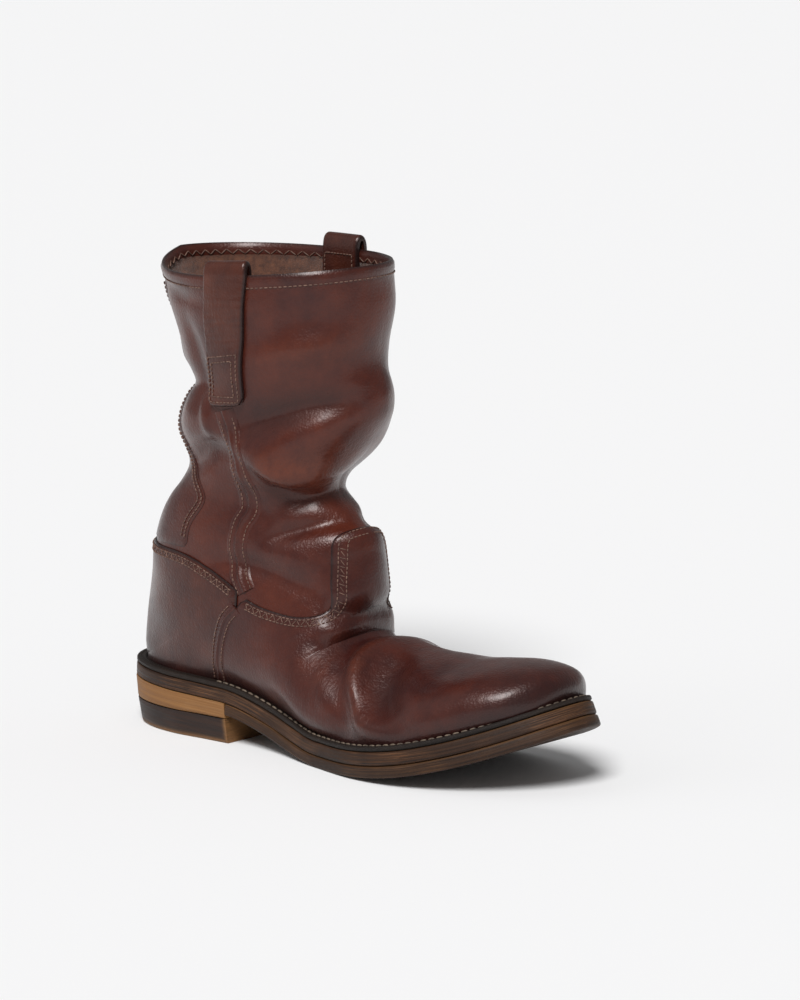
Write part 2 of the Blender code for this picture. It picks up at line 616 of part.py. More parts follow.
def build_welt():
    """Narrow rim on the midsole, from its edge to the foot of the upper, all the way round."""
    _, heel_row = sections()
    side = np.arange(heel_row, 0, -1.0)
    toe = np.linspace(-1, 1, 2 * COLUMNS + 1)
    row = np.concatenate([side, 0 * toe, side[:0:-1]])
    around = np.concatenate([0 * side - 1, toe, 0 * side[1:] + 1])
    hem = smooth_form(row, around)[:, :2]
    along = np.roll(hem, -1, 0) - np.roll(hem, 1, 0)
    along /= np.linalg.norm(along, axis=1)[:, None]
    outward = np.column_stack([along[:, 1], -along[:, 0]])
    back, inwards = np.meshgrid(np.linspace(0, 1, 11), np.linspace(0, 1, 11))
    near_row = row + 2.5 * back.reshape(-1, 1) * (row < 3.5)
    near_around = around * (1 - 0.25 * inwards.reshape(-1, 1))
    wall = upper_surface(near_row, near_around, GAP + OVERLAY)
    rise = wall[..., 2] - seat_height(wall[..., 0])
    slope = seat_slope(wall[..., 0])
    wall[..., 0] += rise * slope / (1 + slope**2)
    beyond = ((wall[..., :2] - hem) * outward).sum(-1)
    beside = rise < 1.3 * WELT_THICKNESS
    reach = (beyond * beside).max(0)
    reach = np.max([np.roll(reach, move) for move in (-1, 0, 1)], axis=0)
    foot = hem + outward * (reach + 2 * GAP)[:, None]
    outline = sole_outline(0.0, 1440)
    ray = over_midsole(outline[:, 0], outline[:, 1], SEAT)[:, :2] - hem[:, None]
    aside = np.abs(ray[..., 0] * outward[:, None, 1] - ray[..., 1] * outward[:, None, 0])
    ahead = (ray * outward[:, None]).sum(-1) > 0
    edge = outline[np.where(ahead, aside, SOLE_LENGTH).argmin(1)]
    fine = np.linspace(0, SOLE_LENGTH, 303)
    foot_x = np.interp(foot[:, 0], over_midsole(fine, 0 * fine, SEAT)[:, 0], fine)
    skins = [np.stack([over_midsole(edge[:, 0], edge[:, 1], lift),
                       over_midsole(foot_x, foot[:, 1], lift)])
             for lift in (SEAT + WELT_THICKNESS, SEAT)]
    welt = solid_from_faces("welt", *skins, grid_faces(2, len(hem), wrap=True))
    welt.data.materials.append(material("welt_leather", (0.02, 0.017, 0.015), 0.45))


def heel_layer(name, low_share, low_height, high_height, top_follows_sole):
    """One piece of the heel, tapering to the floor, with a flat breast."""
    x = stations(SOLE_LENGTH * MORE_STATIONS[0], HEEL_LENGTH)
    outer, inner = sole_edges(x, 0.0)

    def skin(height, taper):
        squeeze = HEEL_TAPER * taper
        narrow = 1 - squeeze / inner.max()
        shift = squeeze * (1 - x / HEEL_LENGTH)
        z = height + 0 * x
        return np.stack([np.stack([x + shift, outer * narrow, z], -1),
                         np.stack([x + shift, inner * narrow, z], -1)], 1)

    bottom = skin(low_height, low_share)
    if top_follows_sole:
        top = skin(tread(x) + OUTSOLE_THICKNESS, 0.0)
    else:
        top = skin(high_height, low_share * 0.3)
    return solid_from_faces(name, top, bottom, grid_faces(len(x), 2))


def build_heel():
    """Dark block on the floor, and a tan wedge between it and the midsole."""
    block = heel_layer("heel_block", 1.0, 0.0, HEEL_BLOCK_HEIGHT, False)
    block.data.materials.append(material("heel_block_leather", (0.05, 0.035, 0.03), 0.50))
    wedge = heel_layer("heel_wedge", 0.3, HEEL_BLOCK_HEIGHT + GAP, 0.0, True)
    wedge.data.materials.append(material("heel_wedge_leather", (0.27, 0.15, 0.07), 0.55))


def main():
    for thing in list(bpy.data.objects):
        bpy.data.objects.remove(thing)
    build_upper()
    build_overlays()
    build_side_seams()
    build_back_stay()
    build_straps()
    build_sole()
    build_welt()
    build_heel()


main()
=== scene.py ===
# %% [markdown]
# # A slouched leather boot, piece by piece
# A pull-on boot is a leather tube shaped over a last, with a sole built up under it. This lesson
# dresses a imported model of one: every visible surface is worked out with numpy as a function of
# two parameters, put into a mesh in one go, and finished with a procedural material.

import bmesh
import bpy
import numpy as np
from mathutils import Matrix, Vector


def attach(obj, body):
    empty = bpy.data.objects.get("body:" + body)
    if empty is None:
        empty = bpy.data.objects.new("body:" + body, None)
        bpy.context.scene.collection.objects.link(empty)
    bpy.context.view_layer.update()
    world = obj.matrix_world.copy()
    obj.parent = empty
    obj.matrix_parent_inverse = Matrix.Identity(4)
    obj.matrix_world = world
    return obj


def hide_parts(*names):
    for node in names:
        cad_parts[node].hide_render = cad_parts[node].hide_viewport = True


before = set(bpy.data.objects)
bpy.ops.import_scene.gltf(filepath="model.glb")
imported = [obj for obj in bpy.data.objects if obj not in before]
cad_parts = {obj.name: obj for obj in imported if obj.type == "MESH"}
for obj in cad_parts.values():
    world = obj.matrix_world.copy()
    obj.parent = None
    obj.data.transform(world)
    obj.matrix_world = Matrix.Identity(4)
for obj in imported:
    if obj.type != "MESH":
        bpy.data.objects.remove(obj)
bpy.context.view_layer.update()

# %% [markdown]
# ## The sizes a maker starts from
# A last maker thinks in a few sizes: length, ball width, heel height, toe spring. The tables
# below hold shares of these, so the boot keeps its character when a size changes. Numbers could
# also be typed in metres at each point, but then no size could ever be read or changed alone.

# %% Driving sizes, in metres
SOLE_LENGTH = 0.302
BALL_WIDTH = 0.110
UPPER_HEIGHT = 0.228
HEEL_LENGTH = 0.087
HEEL_HEIGHT = 0.0228
HEEL_SEAT_RISE = 0.0034
HEEL_BLOCK_HEIGHT = 0.0135
HEEL_TAPER = 0.0030
TOE_SPRING = 0.0335
OUTSOLE = 0.0062
MIDSOLE = 0.0072
WELT = 0.0028
WELT_LEDGE = 0.0055
INSOLE = 0.0030
WALL = 0.0020
OVERLAY = 0.0014
GAP = 0.0003
COLLAR_DIP = 0.008
HEEL_CENTRE = 0.145 * SOLE_LENGTH
SEAT = OUTSOLE + MIDSOLE + 2 * GAP
FEATHER_INSET = WELT_LEDGE + OVERLAY + GAP
RIM_HEIGHT = HEEL_HEIGHT - OUTSOLE + HEEL_SEAT_RISE + SEAT + UPPER_HEIGHT
print("boot stands", round(RIM_HEIGHT, 3), "m high at its rim")

# %% [markdown]
# ## A curve through a table's rows
# Every table is read with one smooth curve, the Catmull-Rom spline. It passes through its rows,
# needs no handles, and works on whole arrays.


# %% Catmull-Rom
def through(rows, at):
    """0.5 * (2b + (c-a)t + (2a-5b+4c-d)t^2 + (3b-a-3c+d)t^3), for four rows a, b, c, d around
    each position `at`; the table's ends are carried on in a straight line."""
    rows = np.asarray(rows, float)
    ends = np.vstack([2 * rows[0] - rows[1], rows, 2 * rows[-1] - rows[-2]])
    at = np.asarray(at, float)
    whole = np.clip(np.floor(at).astype(int), 0, len(rows) - 2)
    part = (at - whole)[..., None]
    a, b, c, d = (ends[whole + step] for step in range(4))
    bend = (2 * a - 5 * b + 4 * c - d) * part**2 + (3 * b - a - 3 * c + d) * part**3
    return 0.5 * (2 * b + (c - a) * part + bend)


def evenly(points, spacing):
    """Points at even steps of arc length along a path."""
    length = np.r_[0, np.cumsum(np.linalg.norm(np.diff(points, axis=0), axis=1))]
    at = np.linspace(0, length[-1], max(int(length[-1] / spacing), 2) + 1)
    return np.stack([np.interp(at, length, column) for column in points.T], 1)


print("a spline through 0, 1 and 0 is", through([[0], [1], [0]], [0.5])[0, 0], "high at 0.5")

# %% [markdown]
# ## Sole line and outline
# The sole is flat in no direction: it rests on the heel and the ball, arches between them and
# springs up at the toe. Its layers are offset square to that line, as bent leather is.

# %% Outline from above: share of length, share of ball width (outer side negative)
OUTLINE = (
    (0.000, 0.000), (0.022, -0.170), (0.075, -0.275), (0.150, -0.325),
    (0.240, -0.325), (0.400, -0.335), (0.520, -0.405), (0.640, -0.485),
    (0.740, -0.490), (0.840, -0.420), (0.920, -0.300), (0.975, -0.150),
    (1.000, 0.040), (0.985, 0.210), (0.930, 0.345), (0.850, 0.445),
    (0.740, 0.505), (0.640, 0.470), (0.520, 0.375), (0.400, 0.300),
    (0.240, 0.315), (0.150, 0.325), (0.075, 0.275), (0.022, 0.170),
)
SHANK_BACK = 0.258
SHANK_FRONT = 0.530
SPRING_START = 0.556


def sole_outline(inset, count=1440):
    """Closed outline moved inwards by `inset` along its own normal (-dy, dx)."""
    rows = np.array(OUTLINE[-1:] + OUTLINE + OUTLINE[:3])
    around = 1 + np.arange(count) * len(OUTLINE) / count
    loop = through(rows, around) * (SOLE_LENGTH, BALL_WIDTH)
    along = np.roll(loop, -1, 0) - np.roll(loop, 1, 0)
    along /= np.linalg.norm(along, axis=1)[:, None]
    return loop + inset * np.column_stack([-along[:, 1], along[:, 0]])


print("the outline is", np.round(1000 * np.ptp(sole_outline(0.0), axis=0)), "mm long and wide")


# %% Sole line: its two sides, its rise, and places square to it
def sole_edges(x, inset):
    """Outer and inner Y of the outline at the places x."""
    loop = sole_outline(inset)
    loop = np.roll(loop, -int(loop[:, 0].argmin()), 0)
    toe = int(loop[:, 0].argmax())
    outer = loop[: toe + 1]
    inner = np.vstack([loop[toe:], loop[:1]])[::-1]
    return np.interp(x, outer[:, 0], outer[:, 1]), np.interp(x, inner[:, 0], inner[:, 1])


def tread(x):
    """Sole line: an arch ramp^2 (3 - 2 ramp), a rising heel seat, and a parabola at the toe."""
    share = x / SOLE_LENGTH
    ramp = np.clip((SHANK_FRONT - share) / (SHANK_FRONT - SHANK_BACK), 0, 1)
    arch = (HEEL_HEIGHT - OUTSOLE) * ramp**2 * (3 - 2 * ramp)
    seat = HEEL_SEAT_RISE * np.clip((SHANK_BACK - share) / SHANK_BACK, 0, 1)
    spring = TOE_SPRING * (np.maximum(share - SPRING_START, 0) / (1 - SPRING_START)) ** 2
    return arch + seat + spring


def sole_point(x, y, lift):
    """Point `lift` away from the sole line, square to it."""
    step = 0.001
    slope = (tread(x + step) - tread(x - step)) / (2 * step)
    length = np.sqrt(1 + slope**2)
    return np.stack([x - lift * slope / length, y + 0 * x, tread(x) + lift / length], -1)


def seat_height(x):
    """Height, at x, of the face that the upper stands on."""
    line = sole_point(np.linspace(0, SOLE_LENGTH, 303), 0, SEAT)
    return np.interp(x, line[:, 0], line[:, 2])


print("sole line at heel, waist, ball and toe, mm:",
      np.round(1000 * tread(SOLE_LENGTH * np.array([0.1, 0.4, 0.55, 1.0])), 1))

# %% [markdown]
# ## The last's form
# The upper is a fan of cross-sections, as a last maker's templates are: upright over the toe,
# then leaning back, then lying flat up the shaft. One table holds the foot, another the shaft.
# A sculpted mesh could also give this form, but its points would mean nothing to a reader.

# %% Sections: two tables
# Base and ridge places as shares of length; ridge rise as a share of the upper's height; half
# widths outside and inside as shares of ball width; height of the greatest width as a share of
# the section; fullness of the top; middle line as a share of ball width.
FOOT_SECTIONS = (
    (0.953, 0.9500, 0.012, 0.00, 0.00, 0.00, 2.0, 0.040),
    (0.940, 0.9530, 0.053, 0.00, 0.00, 0.14, 2.1, 0.040),
    (0.920, 0.9500, 0.083, 0.00, 0.00, 0.20, 2.1, 0.038),
    (0.896, 0.9410, 0.110, 0.00, 0.00, 0.22, 2.2, 0.035),
    (0.870, 0.9260, 0.133, 0.00, 0.00, 0.22, 2.2, 0.030),
    (0.835, 0.8960, 0.153, 0.00, 0.00, 0.22, 2.2, 0.025),
    (0.795, 0.8570, 0.168, 0.00, 0.00, 0.22, 2.2, 0.020),
    (0.750, 0.8100, 0.176, 0.00, 0.00, 0.22, 2.1, 0.015),
    (0.700, 0.7600, 0.181, 0.00, 0.00, 0.22, 2.0, 0.010),
    (0.645, 0.7050, 0.196, 0.00, 0.00, 0.23, 2.0, 0.005),
    (0.590, 0.6500, 0.211, 0.00, 0.00, 0.25, 2.0, 0.000),
    (0.530, 0.5920, 0.213, 0.41, 0.39, 0.28, 1.9, 0.000),
    (0.460, 0.5430, 0.195, 0.40, 0.38, 0.34, 1.9, 0.000),
    (0.388, 0.5230, 0.188, 0.38, 0.365, 0.40, 2.0, 0.000),
    (0.350, 0.5260, 0.188, 0.372, 0.360, 0.43, 2.0, 0.000),
    (0.311, 0.5320, 0.191, 0.365, 0.355, 0.45, 2.0, 0.000),
    (0.271, 0.5380, 0.202, 0.360, 0.352, 0.47, 2.0, 0.000),
    (0.232, 0.5430, 0.215, 0.355, 0.350, 0.48, 2.0, 0.000),
    (0.156, 0.5450, 0.247, 0.350, 0.345, 0.50, 2.0, 0.000),
    (0.097, 0.5430, 0.277, 0.345, 0.342, 0.51, 2.0, 0.000),
    (0.057, 0.5400, 0.304, 0.344, 0.342, 0.51, 2.0, 0.000),
    (0.034, 0.5370, 0.329, 0.345, 0.344, 0.51, 2.0, 0.000),
    (0.0243, 0.5340, 0.355, 0.346, 0.346, 0.51, 2.0, 0.000),
)
# The same, with the base's own height after its place.
SHAFT_SECTIONS = (
    (0.0270, 0.044, 0.5260, 0.379, 0.350, 0.350, 0.50, 2.0),
    (0.0370, 0.149, 0.4920, 0.419, 0.365, 0.365, 0.48, 2.0),
    (0.0535, 0.263, 0.4570, 0.456, 0.368, 0.368, 0.46, 2.0),
    (0.0620, 0.316, 0.4520, 0.480, 0.362, 0.362, 0.45, 2.0),
    (0.0740, 0.364, 0.4590, 0.507, 0.357, 0.357, 0.46, 2.0),
    (0.0930, 0.408, 0.4770, 0.533, 0.360, 0.360, 0.48, 2.0),
    (0.1190, 0.452, 0.4970, 0.561, 0.368, 0.368, 0.49, 2.0),
    (0.1350, 0.493, 0.5170, 0.590, 0.380, 0.380, 0.50, 2.0),
    (0.1280, 0.533, 0.5360, 0.621, 0.395, 0.395, 0.50, 2.0),
    (0.1180, 0.577, 0.5510, 0.654, 0.410, 0.410, 0.50, 2.0),
    (0.1240, 0.623, 0.5560, 0.689, 0.415, 0.415, 0.50, 2.0),
    (0.1410, 0.662, 0.5530, 0.724, 0.415, 0.415, 0.50, 2.0),
    (0.1620, 0.697, 0.5450, 0.759, 0.412, 0.412, 0.50, 2.0),
    (0.1540, 0.730, 0.5400, 0.796, 0.412, 0.412, 0.50, 2.0),
    (0.1360, 0.775, 0.5410, 0.836, 0.420, 0.420, 0.50, 2.0),
    (0.1080, 0.870, 0.5500, 0.912, 0.435, 0.435, 0.50, 2.0),
    (0.0860, 0.960, 0.5460, 0.975, 0.443, 0.443, 0.50, 2.0),
    (0.0800, 0.998, 0.5430, 1.000, 0.445, 0.445, 0.50, 2.0),
)
HEEL_ROW = len(FOOT_SECTIONS) - 1
TOP_ROW = len(FOOT_SECTIONS) + len(SHAFT_SECTIONS) - 1.0
DIP_ROWS = 8
DIP_SKEW = 1.6
TOE_SWELL = 0.0010
FORWARD = 0.001
print(len(FOOT_SECTIONS), "sections of the foot and", len(SHAFT_SECTIONS), "of the shaft")


# %% The tables in metres
def last_sections():
    """Both tables in metres: base, ridge, half widths, waist, crown, middle, feather, lean. The
    lean is the wall's slope at its foot, from how fast the outline widens: d(width^2)/dx."""
    foot = np.array(FOOT_SECTIONS)
    base_x = foot[:, 0] * SOLE_LENGTH
    base = sole_point(base_x, 0, SEAT)
    outer, inner = sole_edges(base_x, FEATHER_INSET)
    outer_next, inner_next = sole_edges(base_x + FORWARD, FEATHER_INSET)
    middle = foot[:, 7] * BALL_WIDTH
    closing = foot[:, 0] <= FOOT_SECTIONS[-1][0]
    feathers = [np.where(closing, 0, middle - outer), np.where(closing, 0, inner - middle)]
    swell = TOE_SWELL * np.minimum(foot[:, 5] / foot[:, 5].max() * 2, 1)
    wide = [np.maximum(feathers[k] + swell, foot[:, 3 + k] * BALL_WIDTH) for k in (0, 1)]
    level = foot[:, 5] * (foot[:, 1] * SOLE_LENGTH - base[:, 0])
    growths = [(outer_next**2 - outer**2) / FORWARD, (inner_next**2 - inner**2) / FORWARD]
    leans = [np.clip(level * growths[k] / (wide[k] ** 2 - feathers[k] ** 2 + 1e-9), 0, 2)
             for k in (0, 1)]
    ridge_z = base[:, 2] + foot[:, 2] * UPPER_HEIGHT
    low = np.column_stack([base[:, 0], base[:, 2], foot[:, 1] * SOLE_LENGTH, ridge_z, *wide,
                           foot[:, 5], foot[:, 6], middle, *feathers, *leans])
    shaft = np.array(SHAFT_SECTIONS)
    sizes = np.array([SOLE_LENGTH, UPPER_HEIGHT, SOLE_LENGTH, UPPER_HEIGHT, BALL_WIDTH,
                      BALL_WIDTH, 1, 1])
    floor = np.array([0, base[-1, 2], 0, base[-1, 2], 0, 0, 0, 0])
    rest = np.tile([0, 0, 0, 2, 2], (len(shaft), 1))
    return np.vstack([low, np.hstack([shaft * sizes + floor, rest])])


LAST = last_sections()
print("last has", len(LAST), "sections of", LAST.shape[1], "values")


# %% The form between the sections
def smooth_form(row, around):
    """Superellipse over the widest line and a rounded wall under it. `around` is 0 on the ridge,
    -1 at the outer base, 1 at the inner base. The origin lies under the heel's middle."""
    values = through(LAST, row)
    base = values[..., 0:2]
    ridge = values[..., 2:4]
    outer_side = around < 0
    wide = np.where(outer_side, values[..., 4], values[..., 5])
    waist = np.clip(values[..., 6], 0, 1)
    crown = values[..., 7]
    feather = np.maximum(np.where(outer_side, values[..., 9], values[..., 10]), 0)
    reach = np.linalg.norm(ridge - base, axis=-1)
    upper_arc = np.hypot(wide, (1 - waist) * reach)
    lower_arc = np.hypot(wide - feather, waist * reach) * (waist > 0.001)
    turn = upper_arc / (upper_arc + lower_arc + 1e-9)
    share = np.abs(around)
    above = share <= turn
    swing = np.where(above, share / turn, (share - turn) / np.maximum(1 - turn, 1e-6))
    swing = swing * np.pi / 2
    climb = 1 - np.sin(swing)
    lean = np.clip(np.where(outer_side, values[..., 11], values[..., 12]), 0, 2)
    opened = lean * climb * (1 - climb) ** 2 + climb**2 * (3 - 2 * climb)
    low_width = np.sqrt(np.maximum(feather**2 + (wide**2 - feather**2) * opened, 0))
    top_width = wide * np.abs(np.sin(swing)) ** (2 / crown)
    top_height = waist + (1 - waist) * np.abs(np.cos(swing)) ** (2 / crown)
    height = np.where(above, top_height, waist * climb)
    flat = base + (ridge - base) * height[..., None]
    near_collar = np.clip(1 - (TOP_ROW - row) / DIP_ROWS, 0, 1)
    dip = COLLAR_DIP * near_collar**2 * np.sin(np.pi * share**DIP_SKEW) * outer_side
    y = values[..., 8] + np.sign(around) * np.where(above, top_width, low_width)
    return np.stack([flat[..., 0] - HEEL_CENTRE, y, flat[..., 1] - dip], -1)


def form_normals(row, around):
    """Cross product of small steps along the rows and round the section."""
    step = 0.02
    along = smooth_form(row + step, around) - smooth_form(row - step, around)
    side = np.where(around < 0, -1.0, 1.0)
    inside = np.clip(np.abs(around), 0.004, 0.992)
    across = smooth_form(row, side * (inside + 0.004)) - smooth_form(row, side * (inside - 0.004))
    normal = np.cross(along, across * side[..., None])
    normal[..., 1] = np.where(np.abs(around) < 0.001, 0, normal[..., 1])
    return -normal / np.maximum(np.linalg.norm(normal, axis=-1), 1e-12)[..., None]


rim_ends = smooth_form(TOP_ROW + np.zeros(2), np.array([0.0, 1.0]))
print("the rim is", round(1000 * float(np.ptp(rim_ends[:, 0]))), "mm long")

# %% [markdown]
# ## Folds pressed into the leather
# Worn leather folds where the ankle bends. Each fold is a soft trough along a curve through
# three places seen from the side, pressed in along the surface's normal. The broad ones are in
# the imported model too; the narrow ones are only here. A cloth simulation would fold the shaft
# somewhere, but not where this boot is folded.

# %% Folds: three side-view places, side (-1 outer), depth and width as shares of ball width
FOLDS = (
    ((0.30, 0.60), (0.40, 0.68), (0.52, 0.74), -1, 0.036, 0.130),
    ((0.33, 0.56), (0.42, 0.57), (0.50, 0.60), -1, -0.032, 0.140),
    ((0.16, 0.52), (0.26, 0.49), (0.36, 0.45), -1, 0.026, 0.150),
    ((0.30, 0.60), (0.40, 0.68), (0.52, 0.74), 1, 0.032, 0.130),
    ((0.33, 0.56), (0.42, 0.57), (0.50, 0.60), 1, -0.028, 0.140),
    ((0.16, 0.52), (0.26, 0.49), (0.36, 0.45), 1, 0.026, 0.150),
)
# The same columns, for the narrow folds; a negative depth is a ridge.
CREASES = (
    ((0.340, 0.605), (0.450, 0.652), (0.550, 0.695), -1, 0.068, 0.080),
    ((0.370, 0.515), (0.440, 0.518), (0.520, 0.530), -1, -0.064, 0.074),
    ((0.370, 0.765), (0.460, 0.800), (0.550, 0.840), -1, -0.030, 0.095),
    ((0.333, 0.545), (0.387, 0.500), (0.430, 0.437), -1, 0.026, 0.045),
    ((0.345, 0.500), (0.380, 0.450), (0.400, 0.415), -1, -0.012, 0.050),
    ((0.215, 0.530), (0.270, 0.560), (0.328, 0.545), -1, 0.036, 0.055),
    ((0.225, 0.480), (0.265, 0.490), (0.310, 0.480), -1, -0.014, 0.060),
    ((0.200, 0.600), (0.235, 0.630), (0.300, 0.640), -1, -0.014, 0.080),
    ((0.262, 0.680), (0.272, 0.640), (0.276, 0.590), -1, -0.018, 0.030),
    ((0.385, 0.345), (0.440, 0.385), (0.530, 0.412), -1, 0.034, 0.048),
    ((0.375, 0.452), (0.435, 0.468), (0.490, 0.480), -1, -0.020, 0.065),
    ((0.250, 0.285), (0.370, 0.288), (0.485, 0.232), -1, 0.027, 0.052),
    ((0.360, 0.335), (0.420, 0.322), (0.480, 0.290), -1, -0.006, 0.075),
    ((0.505, 0.200), (0.530, 0.190), (0.560, 0.190), 0, 0.036, 0.055),
    ((0.500, 0.150), (0.525, 0.160), (0.560, 0.160), -1, -0.022, 0.050),
    ((0.575, 0.125), (0.600, 0.060), (0.640, -0.010), -1, -0.044, 0.048),
    ((0.640, -0.010), (0.670, -0.030), (0.710, -0.020), -1, -0.022, 0.050),
    ((0.640, 0.130), (0.665, 0.060), (0.715, 0.010), -1, 0.062, 0.085),
    ((0.545, 0.110), (0.568, 0.050), (0.600, -0.010), -1, 0.016, 0.045),
    ((0.510, 0.100), (0.530, 0.050), (0.560, 0.000), -1, -0.008, 0.040),
    ((0.130, 0.930), (0.200, 0.910), (0.290, 0.905), -1, 0.018, 0.045),
    ((0.225, 0.850), (0.248, 0.760), (0.262, 0.660), -1, 0.022, 0.055),
    ((0.100, 0.800), (0.120, 0.760), (0.190, 0.740), -1, -0.014, 0.080),
    ((0.375, 0.640), (0.450, 0.712), (0.540, 0.750), 1, 0.020, 0.080),
    ((0.333, 0.545), (0.390, 0.495), (0.440, 0.440), 1, 0.022, 0.050),
    ((0.225, 0.535), (0.270, 0.560), (0.325, 0.548), 1, 0.026, 0.060),
    ((0.375, 0.335), (0.440, 0.375), (0.530, 0.405), 1, 0.030, 0.055),
    ((0.250, 0.300), (0.370, 0.285), (0.485, 0.235), 1, 0.028, 0.055),
    ((0.590, 0.125), (0.625, 0.060), (0.660, 0.000), 1, -0.026, 0.050),
    ((0.650, 0.130), (0.680, 0.070), (0.730, 0.020), 1, 0.032, 0.100),
    ((0.225, 0.850), (0.240, 0.760), (0.262, 0.660), 1, 0.018, 0.060),
)
SEAT_Z = float(sole_point(np.array([0.0]), 0, SEAT)[0, 2])
HEM_HEIGHT = 0.006
print(len(FOLDS), "broad folds and", len(CREASES), "narrow ones")


# %% Folds: how deep they press
def side_places(rows):
    """Side-view places in metres from shares of length and of the upper's height."""
    rows = np.asarray(rows, float)
    return rows * (SOLE_LENGTH, UPPER_HEIGHT) + (-HEEL_CENTRE, SEAT_Z)


def pressed(points, normals, folds):
    """Sum over the folds of depth * exp(-(distance to the curve / width)^2), on the fold's side.
    The curve is the parabola through its three places."""
    steps = np.linspace(0, 1, 24)
    ease = np.sin(np.pi * np.clip(steps, 0.04, 0.96)) ** 0.5
    depth = np.zeros(points.shape[:-1])
    for start, middle, end, side, deep, width in folds:
        places = side_places([start, middle, end])
        bend = 2 * places[1] - (places[0] + places[2]) / 2
        curve = np.outer((1 - steps) ** 2, places[0]) + np.outer(steps**2, places[2])
        curve += np.outer(2 * steps * (1 - steps), bend)
        facing = np.clip(normals[..., 1] * side * 1.6 + 0.3, 0, 1) if side else 1.0
        near = np.zeros(depth.shape)
        for (x, z), fade in zip(curve, ease):
            away = (points[..., 0] - x) ** 2 + (points[..., 2] - z) ** 2
            near = np.maximum(near, np.exp(-away / (width * BALL_WIDTH) ** 2) * fade)
        depth += deep * BALL_WIDTH * near * facing
    return depth


# %% Dents, and the leather with all of it
DENTS = np.random.default_rng(17).uniform(-1, 1, (9, 7))[:, :5]
DENT_DEPTH = 0.00022


def dented(points):
    """Shallow dents all over, in metres: a sum of nine plane waves of equal depth, with random
    directions and phases and with wavelengths of 22 to 60 mm."""
    height = np.zeros(points.shape[:-1])
    for x, y, z, size, phase in DENTS:
        way = np.array([x, y, 1.6 * z]) / np.linalg.norm([x, y, 1.6 * z])
        height += np.sin(points @ way * 2 * np.pi / (0.041 + 0.019 * size) + phase * np.pi)
    return DENT_DEPTH * height


def leather(row, around, lift=0.0):
    """(points, depth): the smooth form moved along its normal by `lift` less the folds' depth.
    Close over the sole the normal is laid level, so that the hem stands square to the sole."""
    points = smooth_form(row, around)
    normals = form_normals(row, around)
    depth = pressed(points, normals, FOLDS + CREASES) + dented(points)
    x = points[..., 0] + HEEL_CENTRE
    rise = points[..., 2] - seat_height(x)
    hem = np.clip(1 - rise / HEM_HEIGHT, 0, 1)
    slope = (seat_height(x + 0.001) - seat_height(x - 0.001)) / 0.002
    up = np.stack([-slope, 0 * slope, 1 + 0 * slope], -1) / np.sqrt(1 + slope**2)[..., None]
    normals = normals - up * ((normals * up).sum(-1) * hem)[..., None]
    normals = normals / np.linalg.norm(normals, axis=-1)[..., None]
    depth = depth * np.clip(rise / (2 * HEM_HEIGHT), 0, 1)
    return points + normals * (lift - depth)[..., None], depth


ankle_row = np.linspace(HEEL_ROW, TOP_ROW, 60)
print("folds press up to", round(1000 * float(leather(ankle_row, 0 * ankle_row - 0.5)[1].max()), 1),
      "mm into the middle of the outer side")

# %% [markdown]
# ## Rows at even steps
# The sections are unevenly spaced on the boot, so rows are chosen by the length of leather
# between them: close where the leather shows, further apart under the overlays.


# %% Rows by arc length
def rows_between(start, end, spacing):
    """Row positions whose longest step, over five lines along the form, is `spacing`."""
    fine = np.linspace(start, end, 1500)
    lines = [smooth_form(fine, 0 * fine + turn) for turn in (-0.99, -0.5, 0.0, 0.5, 0.99)]
    steps = np.max([np.linalg.norm(np.diff(line, axis=0), axis=1) for line in lines], axis=0)
    length = np.r_[0, np.cumsum(steps)]
    return np.interp(np.linspace(0, length[-1], int(length[-1] / spacing) + 2), length, fine)


def to_around(turn):
    """`turn` runs on past the base: 1 to 2 is the outer side, from its base up to the ridge."""
    return np.where(turn > 1, turn - 2, turn)


def triangles(index):
    """Two triangles for each cell of an array of point numbers, always on the same diagonal."""
    a, b, c, d = index[:-1, :-1], index[:-1, 1:], index[1:, 1:], index[1:, :-1]
    return np.concatenate([np.stack([a, b, c], -1).reshape(-1, 3),
                           np.stack([a, c, d], -1).reshape(-1, 3)])


print("a grid of 3 x 3 points makes", len(triangles(np.arange(9).reshape(3, 3))), "triangles")

# %% [markdown]
# ## From arrays to a piece
# One helper puts points and faces into a mesh, with an attribute for each quantity that a
# material reads. Another makes a wall from two skins: every open edge gets a rim, so the piece
# is closed as real leather is. A Solidify modifier would also make a wall, but of one thickness.


# %% Mesh helpers
def linked(name, data):
    """Object of some data, put into the scene at the origin."""
    made = bpy.data.objects.new(name, data)
    bpy.context.scene.collection.objects.link(made)
    return made


